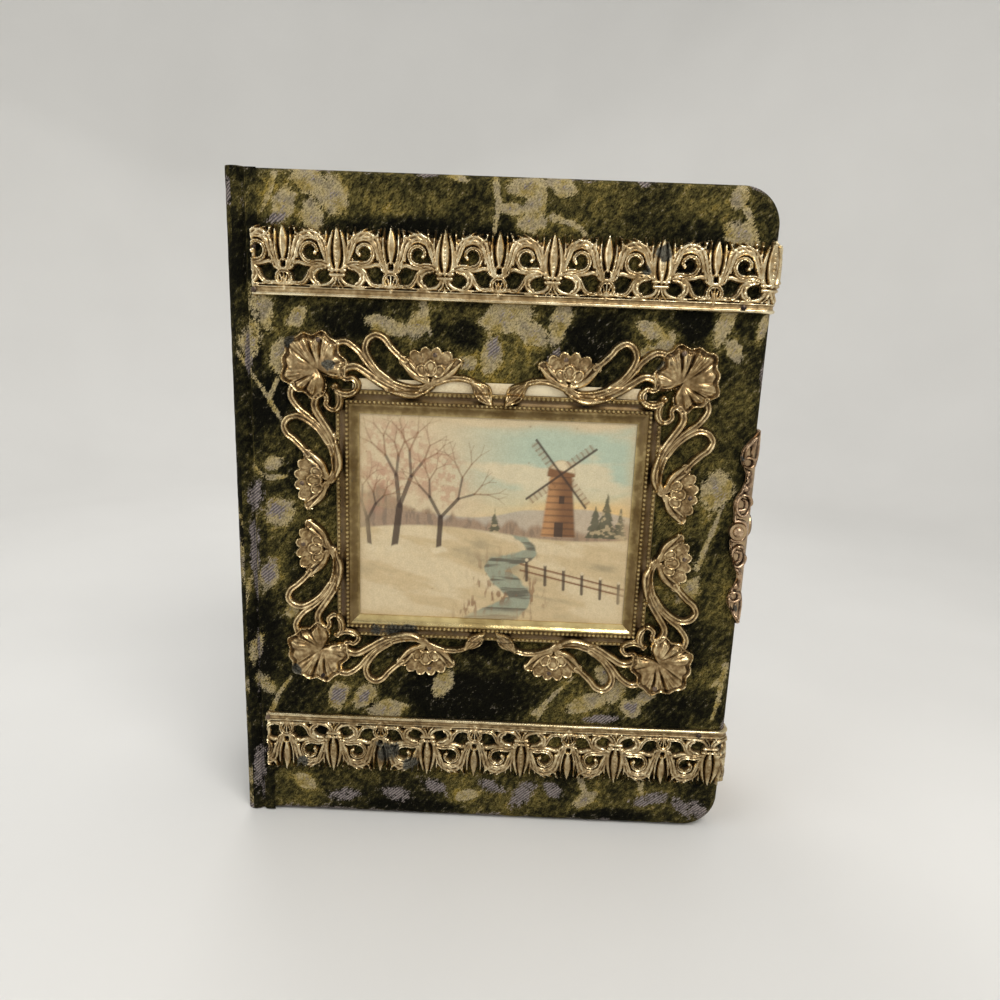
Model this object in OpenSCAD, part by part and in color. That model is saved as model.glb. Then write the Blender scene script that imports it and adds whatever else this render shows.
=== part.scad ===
// Victorian photograph album: padded velvet covers, a hinged spine, twelve thick
// window leaves, stamped brass bands, a framed picture with water-lily corners
// and a fore-edge clasp. It stands upright on its tail edge, front towards -Y.

/* [Covers] */
// Height of the covers from tail to head
cover_h = 273; // [258:1:300]
// Width from the back of the spine to the fore-edge
cover_w = 212; // [205:1:230]
// Thickness of one padded cover
cover_t = 8; // [7.5:0.5:10]
// Corner radius at the fore-edge
corner_r = 15; // [11:1:20]
// Rounding of the padded outer edge
edge_r = 4; // [3:0.25:5]
// Thickness of the velvet
velvet_t = 1; // [0.8:0.1:1.4]
// Thickness of the millboard in a cover
board_t = 3.6; // [2.6:0.1:4]
// Width of the velvet turned in over the inner edge
turn_in = 14; // [10:1:20]
// Thickness of the paper lining inside a cover
lining_t = 0.4; // [0.3:0.1:0.6]

/* [Spine] */
// Clearance between the spine bead and a cover
hinge_gap = 0.3; // [0.2:0.05:0.5]
// Distance from the spine to the turning line of the leaves
stub_w = 5; // [4:0.5:7]
// Thickness of one leaf stub
stub_t = 1.6; // [1:0.1:2]

/* [Leaves] */
// Thickness of the core card of a leaf
core_t = 2; // [1.6:0.1:2.4]
// Thickness of one window mat
mat_t = 0.8; // [0.5:0.1:1]
// Air between two closed leaves
leaf_gap = 0.4; // [0.3:0.05:0.6]
// Distance from the cover edge to the leaf edge
leaf_inset = 5; // [3:0.5:8]
// Width of the thin linen guard of a leaf
guard_w = 10; // [10:0.5:14]
// Thickness of the linen guard
guard_t = 0.8; // [0.6:0.1:1]
// Corner radius of a leaf
leaf_corner_r = 10; // [4:1:14]
// Width of a cabinet card
cabinet_w = 108; // [100:1:120]
// Height of a cabinet card
cabinet_h = 165; // [150:1:180]
// Width of a visiting card
visit_w = 64; // [60:1:68]
// Height of a visiting card
visit_h = 103; // [98:1:108]
// Overlap of a mat over the edge of a card
mat_lap = 5; // [3:0.5:8]
// Depth of the pocket for a card
pocket_d = 0.5; // [0.3:0.1:0.6]

/* [Brass bands] */
// Height of a band from rail to leaf tips
band_h = 27; // [24:0.5:30]
// Distance from one tall motif to the next small one
motif_pitch = 20.7; // [19:0.1:22]
// Distance from the head edge down to the rail of the head band
head_band_drop = 47; // [42:1:50]
// Height of the rail of the tail band above the tail edge
tail_band_z = 49; // [44:1:52]
// Thickness of the stamped sheet
band_t = 1.2; // [0.8:0.1:1.6]
// Width of the moulded rail
rail_w = 3.8; // [3:0.1:5]

/* [Picture frame] */
// Outer width of the frame
frame_w = 130; // [122:1:134]
// Outer height of the frame
frame_h = 104; // [98:1:108]
// Width of the frame moulding
moulding_w = 9.5; // [8.5:0.25:11]
// Height of the frame moulding
moulding_h = 3; // [2.6:0.1:3.6]
// Thickness of the picture card
picture_t = 0.8; // [0.5:0.1:1.2]
// Thickness of the cream backing card
backing_t = 0.6; // [0.4:0.1:1]
// Height of the frame centre above the middle of the cover
frame_rise = 2.8; // [0:0.1:5]

/* [Water-lily corners] */
// Radius of a lily pad
pad_r = 13.4; // [12:0.2:15]
// Width of a lily stem
stem_w = 2.6; // [2:0.1:3.2]
// Thickness of the stamped ornament
lily_t = 1.3; // [1:0.1:1.8]

/* [Clasp] */
// Half length of the clasp plates along the edge
plate_half = 41.5; // [36:0.5:45]
// Thickness of the clasp plates
plate_t = 1; // [0.8:0.1:1.2]
// Height of the clasp centre above the middle of the cover
clasp_rise = 3; // [-6:0.5:12]
// Diameter of the push button
button_d = 4.4; // [3.6:0.1:5]
// Travel of the push button
button_travel = 1.2; // [0.8:0.1:1.5]
// Width of the hasp strap
hasp_w = 18; // [14:0.5:20]
// Thickness of the hasp strap
hasp_t = 1.2; // [1:0.1:1.6]
// Diameter of the hinge pin
pin_d = 1.4; // [1.2:0.1:1.8]

/* [Nails] */
// Diameter of a nail head
nail_d = 2.2; // [1.6:0.1:2.6]
// Diameter of a nail shank
shank_d = 0.9; // [0.7:0.1:1.1]

/* [Hidden] */
$fn = 48;
eps = 0.01;
lay_gap = 0.1;
leaf_count = 12;
fan_half = leaf_count / 2;

fore_x = cover_w / 2;
bead_r = cover_t / 2;
hinge_x = -cover_w / 2 + bead_r;
cover_x0 = hinge_x + bead_r + hinge_gap;
leaf_t = core_t + 2 * mat_t;
leaf_pitch = leaf_t + leaf_gap;
inner_y = (leaf_count * leaf_pitch + leaf_gap) / 2;
outer_y = inner_y + cover_t;
hinge_y = inner_y + bead_r;

leaf_axis_x = hinge_x + bead_r + stub_w;
leaf_x0 = leaf_axis_x + guard_w;
leaf_x1 = fore_x - leaf_inset;
leaf_z0 = leaf_inset;
leaf_z1 = cover_h - leaf_inset;
page_x = (leaf_x0 + leaf_x1) / 2;
page_z = cover_h / 2;
knuckle_gap = 0.25;
guard_lap = 3;
guard_bead_r = guard_t / 2 + 0.05;

band_x0 = cover_x0 + 2.2;
head_band_z = cover_h - head_band_drop;
motif_x = -0.3;
tail_motif_x = -3.8;
// One part of the motif drawing, of which the pitch has 20.7.
mu = motif_pitch / 20.7;
band_end_w = 1.8;
band_turn_w = 1.2;
band_side = cover_t - edge_r - 1;
motif_t = 2.1;
rail_bead_r = rail_w * 0.27;

// Nail places along a band whose middle lancet stands at x, from the spine side to the fore-edge.
function band_nail_points(x) = [
    [band_x0 + band_end_w / 2, 2 * mu], [band_x0 + band_end_w / 2, band_h - 9 * mu],
    [x - 2 * motif_pitch, 10.3 * mu], [x + 2 * motif_pitch, 10.3 * mu],
    [fore_x - edge_r - 8 * mu, 2 * mu]
];

frame_x = 1.5;
frame_z = cover_h / 2 + frame_rise;
card_lap = 2;
fillet_t = 0.5;
card_gap = 0.3;
backing_w = frame_w - 13;
backing_rise = 4.2;

// Lily points are measured from the centre of a pad.
pad_out = [8.8, 9];
pad_x = frame_w / 2 + pad_out[0];
pad_z = frame_h / 2 + pad_out[1];
lily_ridge_t = 2.1;
lily_cap = 3.6;
over_frame_t = backing_t + moulding_h + lay_gap;
bud_rise = 1.6;
bud_w = 5;
bud_over_t = over_frame_t + bud_rise;
bud_knot = [63.5, -4.5];
bud_tip = [71.2, -13.2];
flower_foot = [46.5, -5.4];
foot_w = 3.4;
flower_r = 12.6;
flower_flare = 2.2;
flower_span = 52;
flower_scallops = 6;
scallop_d = 1.1;
petal_r = 2.5;
petal_reach = 7.6;
petal_turn = 30;

// Lines of the ribbed stems of one branch.
stem_outer = [
    [8, 8.2], [12.6, 9.3], [17.5, 6.2], [21, 1.9], [25.1, -2.3],
    [30.1, -5.4], [36.4, -7.6], [42.7, -7.8], [46.5, -5.8]
];
stem_inner = [
    [11.8, -2], [13.9, -0.5], [17.5, -0.4], [22.6, -3.5],
    [27.6, -6.7], [33.9, -9.3], [40.8, -9.9], [46.5, -6.7]
];
stem_hook = [
    [12, -1.6], [11.2, -3.7], [13.1, -5.3], [15.6, -4.9],
    [17.5, -7], [16.8, -9.8], [13.7, -11.1], [10.6, -10.5]
];
stem_loop = [
    [34.5, 3.6], [30.4, 7.6], [27.9, 11], [24.5, 12.3],
    [21.5, 10.3], [20.6, 6.6], [22.2, 2.6], [25.9, -2]
];
stem_bud = [[47, -6], [53.4, -3.6], [59.1, -3.3], bud_knot];
lily_nail_points = [[2.4, 9.6], [48.1, 5.4], [-5.4, -48.1]];
lily_nail_seats = [lily_cap - 0.3, lily_t, lily_t];

nail_head_h = nail_d / 4;

clasp_z = cover_h / 2 + clasp_rise;
plate_gap = 0.1;
plate_r0 = edge_r + plate_gap;
plate_r1 = plate_r0 + plate_t;
// One part of the plate drawing, of which half the plate has 41.5.
plate_part = plate_half / 41.5;
plate_x1 = fore_x + plate_gap + plate_t;
button_x = fore_x - 5;
button_gap = 0.08;
boss_wall = 1.2;
boss_r = button_d / 2 + button_gap + boss_wall;
well_floor = plate_gap + plate_t;
spring_h = button_travel + 0.15;
button_z0 = well_floor + spring_h + 0.1;
button_collar = 1.1;
boss_h = button_z0 + 0.8;
button_dome = 1.5;
hasp_gap = 0.4;
knuckle_r = 1.6;
pin_gap = 0.05;
knuckle_split = 0.3;
hasp_axis_x = plate_x1 + hasp_gap + knuckle_r - 0.1;
hasp_axis_y = hinge_y;
hasp_tip_y = -inner_y - 2.4;
hasp_knuckle = hasp_w * 0.5;

// Outline of a clasp plate from the fore-edge inwards: leaf, bell, neck, scroll and back again.
plate_steps = [
    [1, 0.6], [0.84, 6.8], [0.71, 7.6], [0.58, 5], [0.46, 5.4], [0.29, 8.6], [0.14, 7.8], [0, 8.6],
    [-0.19, 8.2], [-0.36, 6], [-0.48, 4], [-0.7, 7.2], [-0.82, 5.6], [-1, 0.6]
];
// Nails at the two ends of a plate, on its flat.
clasp_nail_points = [
    [fore_x - edge_r - 1.2, 0.72 * plate_half], [fore_x - edge_r - 0.9, -0.71 * plate_half]
];

// The origin lies under the middle of the whole album.
mid_x = (hasp_axis_x + knuckle_r - cover_w / 2) / 2;
front_reach = outer_y + max(bud_over_t, button_z0 + button_collar + button_dome);
back_reach = outer_y + plate_gap + plate_t + nail_head_h;
mid_y = (back_reach - front_reach) / 2;

brass = [0.62, 0.50, 0.30];
clasp_brass = [0.50, 0.38, 0.28];
green = [0.22, 0.22, 0.09];
cream = [0.90, 0.86, 0.74];

// Placing

// Moves the album so that the origin lies under its middle.
module seat() {
    translate([-mid_x, -mid_y, 0]) children();
}

// Lays children on the front cover: x along the cover, y up, z outwards from its inner face.
module front() {
    translate([0, -inner_y, 0]) rotate([90, 0, 0]) children();
}

// Lays children on the back cover in the same way.
module back() {
    mirror([0, 1, 0]) front() children();
}

// Lays children on the outer face of the front cover.
module on_front() {
    front() translate([0, 0, cover_t]) children();
}

// Curves and outlines

function unit(v) = v / norm(v);

// A smooth run through the given points.
function smooth(p, n) = concat(
    [for (i = [0 : len(p) - 2], k = [0 : n - 1])
        let (
            f = k / n,
            a = p[max(i - 1, 0)],
            b = p[i],
            c = p[i + 1],
            d = p[min(i + 2, len(p) - 1)]
        )
        b + f * (c - a) / 2 + f * f * (a - 2.5 * b + 2 * c - d / 2)
            + f * f * f * (1.5 * (b - c) + (d - a) / 2)],
    [p[len(p) - 1]]);

// A curl that turns from angle a0 to a1 while its radius closes from r0 to r1.
function curl(c, r0, r1, a0, a1, n) = [
    for (i = [0 : n])
        let (f = i / n, a = a0 + (a1 - a0) * f, r = r1 + (r0 - r1) * pow(1 - f, 2.2))
        c + r * [cos(a), sin(a)]];

// One side of a line, set off by half the width, which may swell in the middle.
function flank(p, w0, w1, swell, sign) = [
    for (i = [0 : len(p) - 1])
        let (
            f = i / (len(p) - 1),
            d = unit(p[min(i + 1, len(p) - 1)] - p[max(i - 1, 0)]),
            w = (w0 + (w1 - w0) * f + swell * sin(180 * f)) / 2
        )
        p[i] + sign * w * [-d[1], d[0]]];

function backwards(p) = [for (i = [len(p) - 1 : -1 : 0]) p[i]];

// A flat ribbon along a line.
module ribbon(p, w0, w1, swell = 0) {
    polygon(concat(flank(p, w0, w1, swell, 1), backwards(flank(p, w0, w1, swell, -1))));
}

// A pointed leaf from p0 to p1, bowed sideways.
module blade(p0, p1, bow, w) {
    d = unit(p1 - p0);
    m = (p0 + p1) / 2 + bow * [-d[1], d[0]];
    ribbon(smooth([p0, m, p1], 4), 0.4 * mu, 0.3 * mu, w);
}

// A round cap of radius r and height h.
module dome(r, h) {
    ball = (r * r + h * h) / (2 * h);
    intersection() {
        translate([0, 0, h - ball]) sphere(ball, $fn = 96);
        translate([-2 * r, -2 * r, 0]) cube([4 * r, 4 * r, 2 * h]);
    }
}

// A nail: domed head over a short shank that fills its hole.
module nail(p, sheet) {
    translate([p[0], p[1], sheet]) dome(nail_d / 2, nail_head_h);
    translate([p[0], p[1], lay_gap]) cylinder(d = shank_d, h = sheet - lay_gap + eps);
}

module nail_holes(points, depth) {
    for (p = points) translate([p[0], p[1], -1]) cylinder(d = shank_d + lay_gap, h = depth + 2);
}

// Covers

// Section of a cover edge: flat below, rounded above.
module edge_section(run, t, r) {
    square([run, t - r]);
    square([run - r, t]);
    translate([run - r, t - r]) intersection() {
        circle(r);
        square(r);
    }
}

// A padded board, square at the spine side and round at the other edges, inset all round.
module padded_form(inset, h0, h1) {
    x0 = cover_x0 + inset;
    x1 = fore_x - corner_r;
    z0 = corner_r;
    z1 = cover_h - corner_r;
    run = corner_r - inset;
    t = h1 - h0;
    r = edge_r - inset;
    lap = (run - r) / 2;
    translate([x0, z0 - lap, h0]) cube([x1 - x0 + lap, z1 - z0 + 2 * lap, t]);
    translate([x1, z1, h0]) rotate([90, 0, 0]) linear_extrude(z1 - z0) edge_section(run, t, r);
    translate([x0, z1, h0]) rotate([90, 0, 90]) linear_extrude(x1 - x0) edge_section(run, t, r);
    translate([x1, z0, h0]) rotate([90, 0, -90]) linear_extrude(x1 - x0) edge_section(run, t, r);
    translate([x1, z1, h0]) rotate_extrude(angle = 90) edge_section(run, t, r);
    translate([x1, z0, h0]) rotate([0, 0, -90]) rotate_extrude(angle = 90) edge_section(run, t, r);
}

// Outline of a cover inset by a margin, with round corners at the fore-edge.
module cover_outline(inset) {
    r = corner_r - inset;
    translate([cover_x0 + inset, inset]) square([fore_x - corner_r - cover_x0 - inset, cover_h - 2 * inset]);
    translate([fore_x - corner_r - eps, corner_r]) square([r + eps, cover_h - 2 * corner_r]);
    for (z = [corner_r, cover_h - corner_r]) translate([fore_x - corner_r, z]) circle(r);
}

module board_form() {
    translate([0, 0, lining_t]) linear_extrude(board_t) cover_outline(velvet_t);
}

module padding_form() {
    padded_form(velvet_t + lay_gap, lining_t + board_t, cover_t - velvet_t);
}

module velvet_form() {
    difference() {
        padded_form(0, 0, cover_t);
        padded_form(velvet_t, lining_t, cover_t - velvet_t);
        translate([0, 0, -1]) linear_extrude(lining_t + 1 + eps) cover_outline(turn_in);
    }
}

module lining_form() {
    linear_extrude(lining_t) cover_outline(turn_in + lay_gap);
}

module front_board() { color("tan") seat() front() board_form(); }
module front_padding() { color("beige") seat() front() padding_form(); }
module front_velvet() { color(green) seat() front() velvet_form(); }
module front_lining() { color(cream) seat() front() lining_form(); }
module back_board() { color("tan") seat() back() board_form(); }
module back_padding() { color("beige") seat() back() padding_form(); }
module back_velvet() { color(green) seat() back() velvet_form(); }
module back_lining() { color(cream) seat() back() lining_form(); }

// Spine

// Plan of the spine: a flat back between two round beads.
module spine_plan(r) {
    translate([hinge_x - r, -hinge_y]) square([2 * r, 2 * hinge_y]);
    for (y = [-hinge_y, hinge_y]) translate([hinge_x, y]) circle(r);
}

module spine_board() {
    color("tan") seat() translate([0, 0, velvet_t])
        linear_extrude(cover_h - 2 * velvet_t) spine_plan(bead_r - velvet_t - lay_gap);
}

// Opening in the inner side of the spine velvet, filled by the liner.
module liner_strip(margin) {
    translate([hinge_x + bead_r - velvet_t, -inner_y + margin, margin])
        cube([velvet_t, 2 * inner_y - 2 * margin, cover_h - 2 * margin]);
}

module spine_velvet() {
    color(green) seat() difference() {
        linear_extrude(cover_h) spine_plan(bead_r);
        translate([0, 0, velvet_t]) linear_extrude(cover_h - 2 * velvet_t) spine_plan(bead_r - velvet_t);
        translate([eps, 0, 0]) liner_strip(velvet_t);
        translate([-lay_gap, 0, 0]) liner_strip(velvet_t);
    }
}

module spine_liner() {
    color("darkkhaki") seat() liner_strip(velvet_t + lay_gap);
}

// Middle plane of a leaf, counted from the front.
function leaf_y(i) = (i - (leaf_count + 1) / 2) * leaf_pitch;

module leaf_stubs() {
    color(cream) seat() for (i = [1 : leaf_count])
        translate([hinge_x + bead_r, leaf_y(i) - stub_t / 2, leaf_z0])
            cube([stub_w - guard_bead_r - knuckle_gap, stub_t, leaf_z1 - leaf_z0]);
}

// Leaves

// Every third leaf holds four visiting cards a side, the others one cabinet card.
function is_visit(i) = i % 3 == 0;

// Centres of the cards on one page.
function card_places(i) = is_visit(i)
    ? [for (sx = [-1, 1], sz = [-1, 1])
        [page_x + sx * (leaf_x1 - leaf_x0) / 4.4, page_z + sz * (leaf_z1 - leaf_z0) / 4.4]]
    : [[page_x, page_z]];
function card_size(i) = is_visit(i) ? [visit_w, visit_h] : [cabinet_w, cabinet_h];

// Outline of the thick part of a leaf.
module page_outline() {
    r = leaf_corner_r;
    translate([leaf_x0, leaf_z0]) square([leaf_x1 - leaf_x0 - r, leaf_z1 - leaf_z0]);
    translate([leaf_x1 - r - eps, leaf_z0 + r]) square([r + eps, leaf_z1 - leaf_z0 - 2 * r]);
    for (z = [leaf_z0 + r, leaf_z1 - r]) translate([leaf_x1 - r, z]) circle(r);
}

// A window with a round arched head over each card.
module windows(i) {
    size = card_size(i);
    w = size[0] - 2 * mat_lap;
    h = size[1] - 2 * mat_lap;
    for (p = card_places(i)) translate([p[0], p[1] - h / 2]) {
        translate([-w / 2, 0]) square([w, h - w / 2]);
        translate([0, h - w / 2]) circle(w / 2);
    }
}

// Pockets that run in from the tail edge of the page, one per column of cards.
module pockets(i) {
    size = card_size(i);
    for (p = card_places(i))
        translate([p[0] - size[0] / 2, leaf_z0 - 1]) square([size[0], p[1] + size[1] / 2 - leaf_z0 + 1]);
}

// Stands a leaf sheet up at its place in the block, z measured towards the front.
module at_leaf(i) {
    translate([0, leaf_y(i), 0]) rotate([90, 0, 0]) children();
}

module leaf_core(i) {
    color(cream) seat() at_leaf(i) {
        difference() {
            translate([0, 0, -core_t / 2]) linear_extrude(core_t) page_outline();
            for (z = [-core_t / 2 - 1, core_t / 2 - pocket_d])
                translate([0, 0, z]) linear_extrude(pocket_d + 1) pockets(i);
        }
        translate([leaf_axis_x, leaf_z0, -guard_t / 2]) cube([guard_w + guard_lap, leaf_z1 - leaf_z0, guard_t]);
        translate([leaf_axis_x, leaf_z1, 0]) rotate([90, 0, 0])
            cylinder(r = guard_bead_r, h = leaf_z1 - leaf_z0);
    }
}

module leaf_mats(i) {
    color("ivory") seat() at_leaf(i) for (z = [-core_t / 2 - mat_t, core_t / 2])
        translate([0, 0, z]) linear_extrude(mat_t) difference() {
            page_outline();
            windows(i);
        }
}

// Brass bands

// A ribbon given in parts of the motif drawing, to the right or the left.
module drawn(s, p, w0, w1) {
    ribbon([for (q = p) mu * [s * q[0], q[1]]], mu * w0, mu * w1);
}

// Small motif: a lancet leaf between side leaves over a pair of curls.
module lancet_leaves() {
    blade([0, 11 * mu], [0, band_h], 0, 2.6 * mu);
    for (s = [-1, 1]) {
        blade(mu * [s * 1.2, 10.5], [s * 3.6 * mu, band_h - 2.2 * mu], -s * 0.9 * mu, 2 * mu);
        blade(mu * [s * 2.2, 12], [s * 6.4 * mu, band_h - 1.2 * mu], -s * 1.4 * mu, 1.8 * mu);
    }
}
module lancet_foot() {
    translate([0, 10.3 * mu]) circle(1.9 * mu);
    for (s = [-1, 1]) {
        drawn(s, curl([2.5, 7.6], 2.7, 1.1, 125, -150, 10), 1.5, 1);
        drawn(s, smooth([[0, 8], [1.1, 5.2], [4.4, 3.2]], 4), 1.6, 1.4);
    }
}

// Tall motif: a bud with sepals over a tied collar.
module bud_leaves() {
    blade([0, 9 * mu], [0, band_h], 0, 5 * mu);
    for (s = [-1, 1]) {
        blade(mu * [s * 2.4, 9], [s * 3.2 * mu, band_h - 3.2 * mu], -s * 1.3 * mu, 2.2 * mu);
        blade(mu * [s * 3.2, 14], [s * 5.8 * mu, band_h - mu], -s * 0.8 * mu, 2 * mu);
        blade(mu * [s * 4, 14.5], [s * 8.2 * mu, band_h - 2 * mu], -s * 1.4 * mu, 1.8 * mu);
    }
}
module bud_foot() {
    translate(mu * [-3.2, 7.6]) square(mu * [6.4, 2.2]);
    for (s = [-1, 1]) drawn(s, smooth([[0, 8.4], [1.3, 5.4], [5.6, 3.2]], 4), 2, 1.5);
}

// Scrolls between a tall motif and the small one beside it, for the right-hand side.
module scroll_pair(s) {
    big = [10.7, 17.4];
    low = [6.3, 7.7];
    drawn(s, curl(big, 8, 1.9, 228, 580, 18), 2, 1.2);
    drawn(s, curl(big, 6.6, 5.9, -18, 150, 9), 1.7, 1.3);
    drawn(s, curl(low, 3.9, 3.5, 140, -62, 9), 2.2, 1.6);
    drawn(s, smooth([[9, 10.2], [10.8, 7.2], [13.6, 3.2]], 4), 1.8, 1.5);
    drawn(s, smooth([[15.6, 17.6], [16.4, 14], [18.2, 11.4]], 3), 1.8, 1.6);
}

// All motifs of one band, laid out from x on the cover.
module motif_rows(x) {
    count = ceil(fore_x / motif_pitch);
    for (k = [-count : count]) translate([x + k * motif_pitch, 0]) {
        if (k % 2 == 0) lancet_leaves();
        if (k % 2 != 0) bud_leaves();
    }
}
module scroll_rows(x) {
    count = ceil(fore_x / motif_pitch);
    for (k = [-count : count]) translate([x + k * motif_pitch, 0]) {
        if (k % 2 == 0) lancet_foot();
        if (k % 2 != 0) {
            bud_foot();
            for (s = [-1, 1]) scroll_pair(s);
        }
    }
}

// Flat stretch of the band, cut off at the spine side and where the cover edge turns.
module band_field() {
    translate([band_x0, 0]) square([fore_x - edge_r - band_x0, band_h + 1]);
}

// Section of the moulded rail: a flat foot under a round bead.
module rail_section() {
    square([rail_w, band_t]);
    translate([rail_w * 0.36, band_t]) circle(rail_bead_r);
    translate([rail_w * 0.82, band_t]) circle(rail_w * 0.14);
}

// The bend of the band round the fore-edge: rail, two bars and a post before and after the turn.
module band_bend() {
    r0 = edge_r + plate_gap;
    bars = [[0, rail_w], mu * [9.5, 2.2], mu * [19, 2.4]];
    translate([fore_x - edge_r, 0, -edge_r]) {
        for (b = bars) translate([0, b[0], 0]) {
            translate([0, b[1], 0]) rotate([90, 0, 0])
                rotate_extrude(angle = 90) translate([r0, 0]) square([band_t, b[1]]);
            translate([r0, 0, -band_side]) cube([band_t, b[1], band_side]);
        }
        translate([r0, 0, -band_side]) cube([band_t, band_h - 3 * mu, band_end_w]);
        translate([r0, 0, -eps]) cube([band_t, band_h - 4 * mu, eps]);
    }
    translate([fore_x - edge_r - band_turn_w, 0, 0]) cube([band_turn_w, band_h - 4 * mu, band_t]);
}

// Flat seats for the nail heads among the raised leaves.
module nail_seats(points) {
    for (p = points) if (p[1] > rail_w)
        translate([p[0], p[1], band_t]) cylinder(d = nail_d + 2 * lay_gap, h = motif_t);
}

// One band with its middle lancet at x: rail, openwork scrolls and raised leaves, nailed through.
module band(x) {
    difference() {
        union() {
            linear_extrude(band_t) intersection() {
                scroll_rows(x);
                band_field();
            }
            linear_extrude(motif_t) intersection() {
                motif_rows(x);
                band_field();
            }
            translate([band_x0, 0, 0]) rotate([90, 0, 90])
                linear_extrude(fore_x - edge_r - band_x0) intersection() {
                    rail_section();
                    square([rail_w, 2 * band_t]);
                }
            translate([band_x0, 0, 0]) cube([band_end_w, band_h - 2 * mu, band_t]);
            band_bend();
        }
        nail_holes(band_nail_points(x), motif_t);
        nail_seats(band_nail_points(x));
    }
}

module place_head_band() { on_front() translate([0, head_band_z, 0]) children(); }
module place_tail_band() { on_front() translate([0, tail_band_z, 0]) mirror([0, 1, 0]) children(); }

module head_band() { color(brass) seat() place_head_band() band(motif_x); }
module tail_band() { color(brass) seat() place_tail_band() band(tail_motif_x); }

module band_nails() {
    color("dimgray") seat() {
        place_head_band() for (p = band_nail_points(motif_x)) nail(p, nail_seat(p));
        place_tail_band() for (p = band_nail_points(tail_motif_x)) nail(p, nail_seat(p));
    }
}

// Height of the brass under a nail: the rail bead is taller than the sheet.
function nail_seat(p) = p[1] < rail_w ? band_t + rail_bead_r : band_t;

// Picture and frame

// Section of the moulding, from its outer edge inwards: two bead rails and a gilt fillet.
module moulding_section() {
    lip = moulding_w - card_lap;
    polygon([
        [0, 0], [0, moulding_h * 0.45], [moulding_w * 0.24, moulding_h * 0.55],
        [moulding_w * 0.4, moulding_h * 0.5], [moulding_w * 0.5, moulding_h * 0.7],
        [moulding_w * 0.66, moulding_h * 0.78], [moulding_w * 0.74, moulding_h],
        [moulding_w * 0.82, moulding_h], [moulding_w, picture_t + fillet_t],
        [moulding_w, picture_t], [lip, picture_t], [lip, 0]
    ]);
    translate([moulding_w * 0.13, moulding_h * 0.5]) circle(moulding_h * 0.24);
    translate([moulding_w * 0.58, moulding_h * 0.74]) circle(moulding_h * 0.2);
}

// One mitred side of the frame, its outer edge along x.
module frame_side(length) {
    intersection() {
        translate([-length / 2, 0, 0]) rotate([90, 0, 90]) linear_extrude(length) moulding_section();
        linear_extrude(2 * moulding_h) polygon([
            [-length / 2, 0], [length / 2, 0],
            [length / 2 - moulding_w, moulding_w], [moulding_w - length / 2, moulding_w]
        ]);
    }
}

module on_frame() { on_front() translate([frame_x, frame_z, 0]) children(); }

module picture_frame() {
    color(brass) seat() on_frame() translate([0, 0, backing_t]) for (s = [0, 180]) rotate([0, 0, s]) {
        translate([0, -frame_h / 2, 0]) frame_side(frame_w);
        rotate([0, 0, 90]) translate([0, -frame_w / 2, 0]) frame_side(frame_h);
    }
}

module picture_card() {
    inner = [frame_w, frame_h] - 2 * (moulding_w - card_lap + card_gap) * [1, 1];
    color("lightblue") seat() on_frame() translate([-inner[0] / 2, -inner[1] / 2, backing_t])
        cube([inner[0], inner[1], picture_t]);
}

// Cream card under the frame, showing above its head.
module picture_backing() {
    color(cream) seat() on_frame() translate([-backing_w / 2, -frame_h / 2 + backing_rise, 0])
        cube([backing_w, frame_h, backing_t]);
}

// Water-lily corners

// Outline of a pad: a ruffled round leaf with a notch towards the picture.
module pad_outline() {
    polygon([for (a = [0 : 6 : 354])
        let (
            notch = max(0, 1 - abs(((a + 45 + 180) % 360) - 180) / 26),
            r = pad_r * (1 + 0.05 * cos(5 * (a - 135)) + 0.04 * cos(9 * (a - 135)) - 0.45 * notch)
        )
        r * [cos(a), sin(a)]]);
}

// Outline of a half-open flower: a scalloped fan on a narrow foot.
module flower_outline() {
    steps = 4 * flower_scallops;
    translate(flower_foot) polygon(concat(
        [[-foot_w / 2, 0], [foot_w / 2, 0]],
        [for (k = [0 : steps])
            let (
                side = 2 * k / steps - 1,
                a = 90 + flower_span * side,
                scallop = scallop_d * abs(sin(180 * flower_scallops * k / steps)),
                r = flower_r + flower_flare * side * side + scallop
            )
            r * [cos(a), sin(a)]]));
}

// The three round petals in front of a flower.
module petals() {
    for (k = [-1 : 1]) translate([flower_foot[0], flower_foot[1], lily_t - eps])
        rotate([0, 0, k * petal_turn]) translate([0, petal_reach, 0]) dome(petal_r, lily_t);
}

// Ribbed stems of one branch.
module stems(w) {
    for (p = [stem_outer, stem_inner, stem_loop]) ribbon(smooth(p, 2), w, w);
    ribbon(smooth(stem_hook, 2), 0.85 * w, 0.85 * w);
}

// Draws children along the head branch and again along the side branch.
module both_branches() {
    children();
    mirror([1, 1, 0]) children();
}

// Whole sheet of a corner: pad, stems, flowers and the stalk of the bud.
module lily_sheet() {
    pad_outline();
    both_branches() {
        stems(stem_w);
        flower_outline();
    }
    ribbon(smooth(stem_bud, 2), stem_w, 0.8 * stem_w);
}

// What passes over the frame: the ends of the hooks and the drooping bud.
module lily_overlap() {
    both_branches() intersection() {
        ribbon(smooth(stem_hook, 2), 0.85 * stem_w, 0.85 * stem_w);
        translate([0, -pad_r * 1.5]) square([2 * pad_r, pad_r]);
    }
    ribbon(smooth([bud_knot, (bud_knot + bud_tip) / 2, bud_tip], 5), 0.28 * bud_w, 0.16 * bud_w, bud_w);
}

module lily_relief() {
    linear_extrude(lily_t) lily_sheet();
    linear_extrude(lily_ridge_t) both_branches() stems(stem_w * 0.42);
    linear_extrude(bud_over_t) lily_overlap();
    both_branches() petals();
    intersection() {
        linear_extrude(2 * lily_cap) pad_outline();
        dome(pad_r * 1.7, lily_cap);
    }
}

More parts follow.
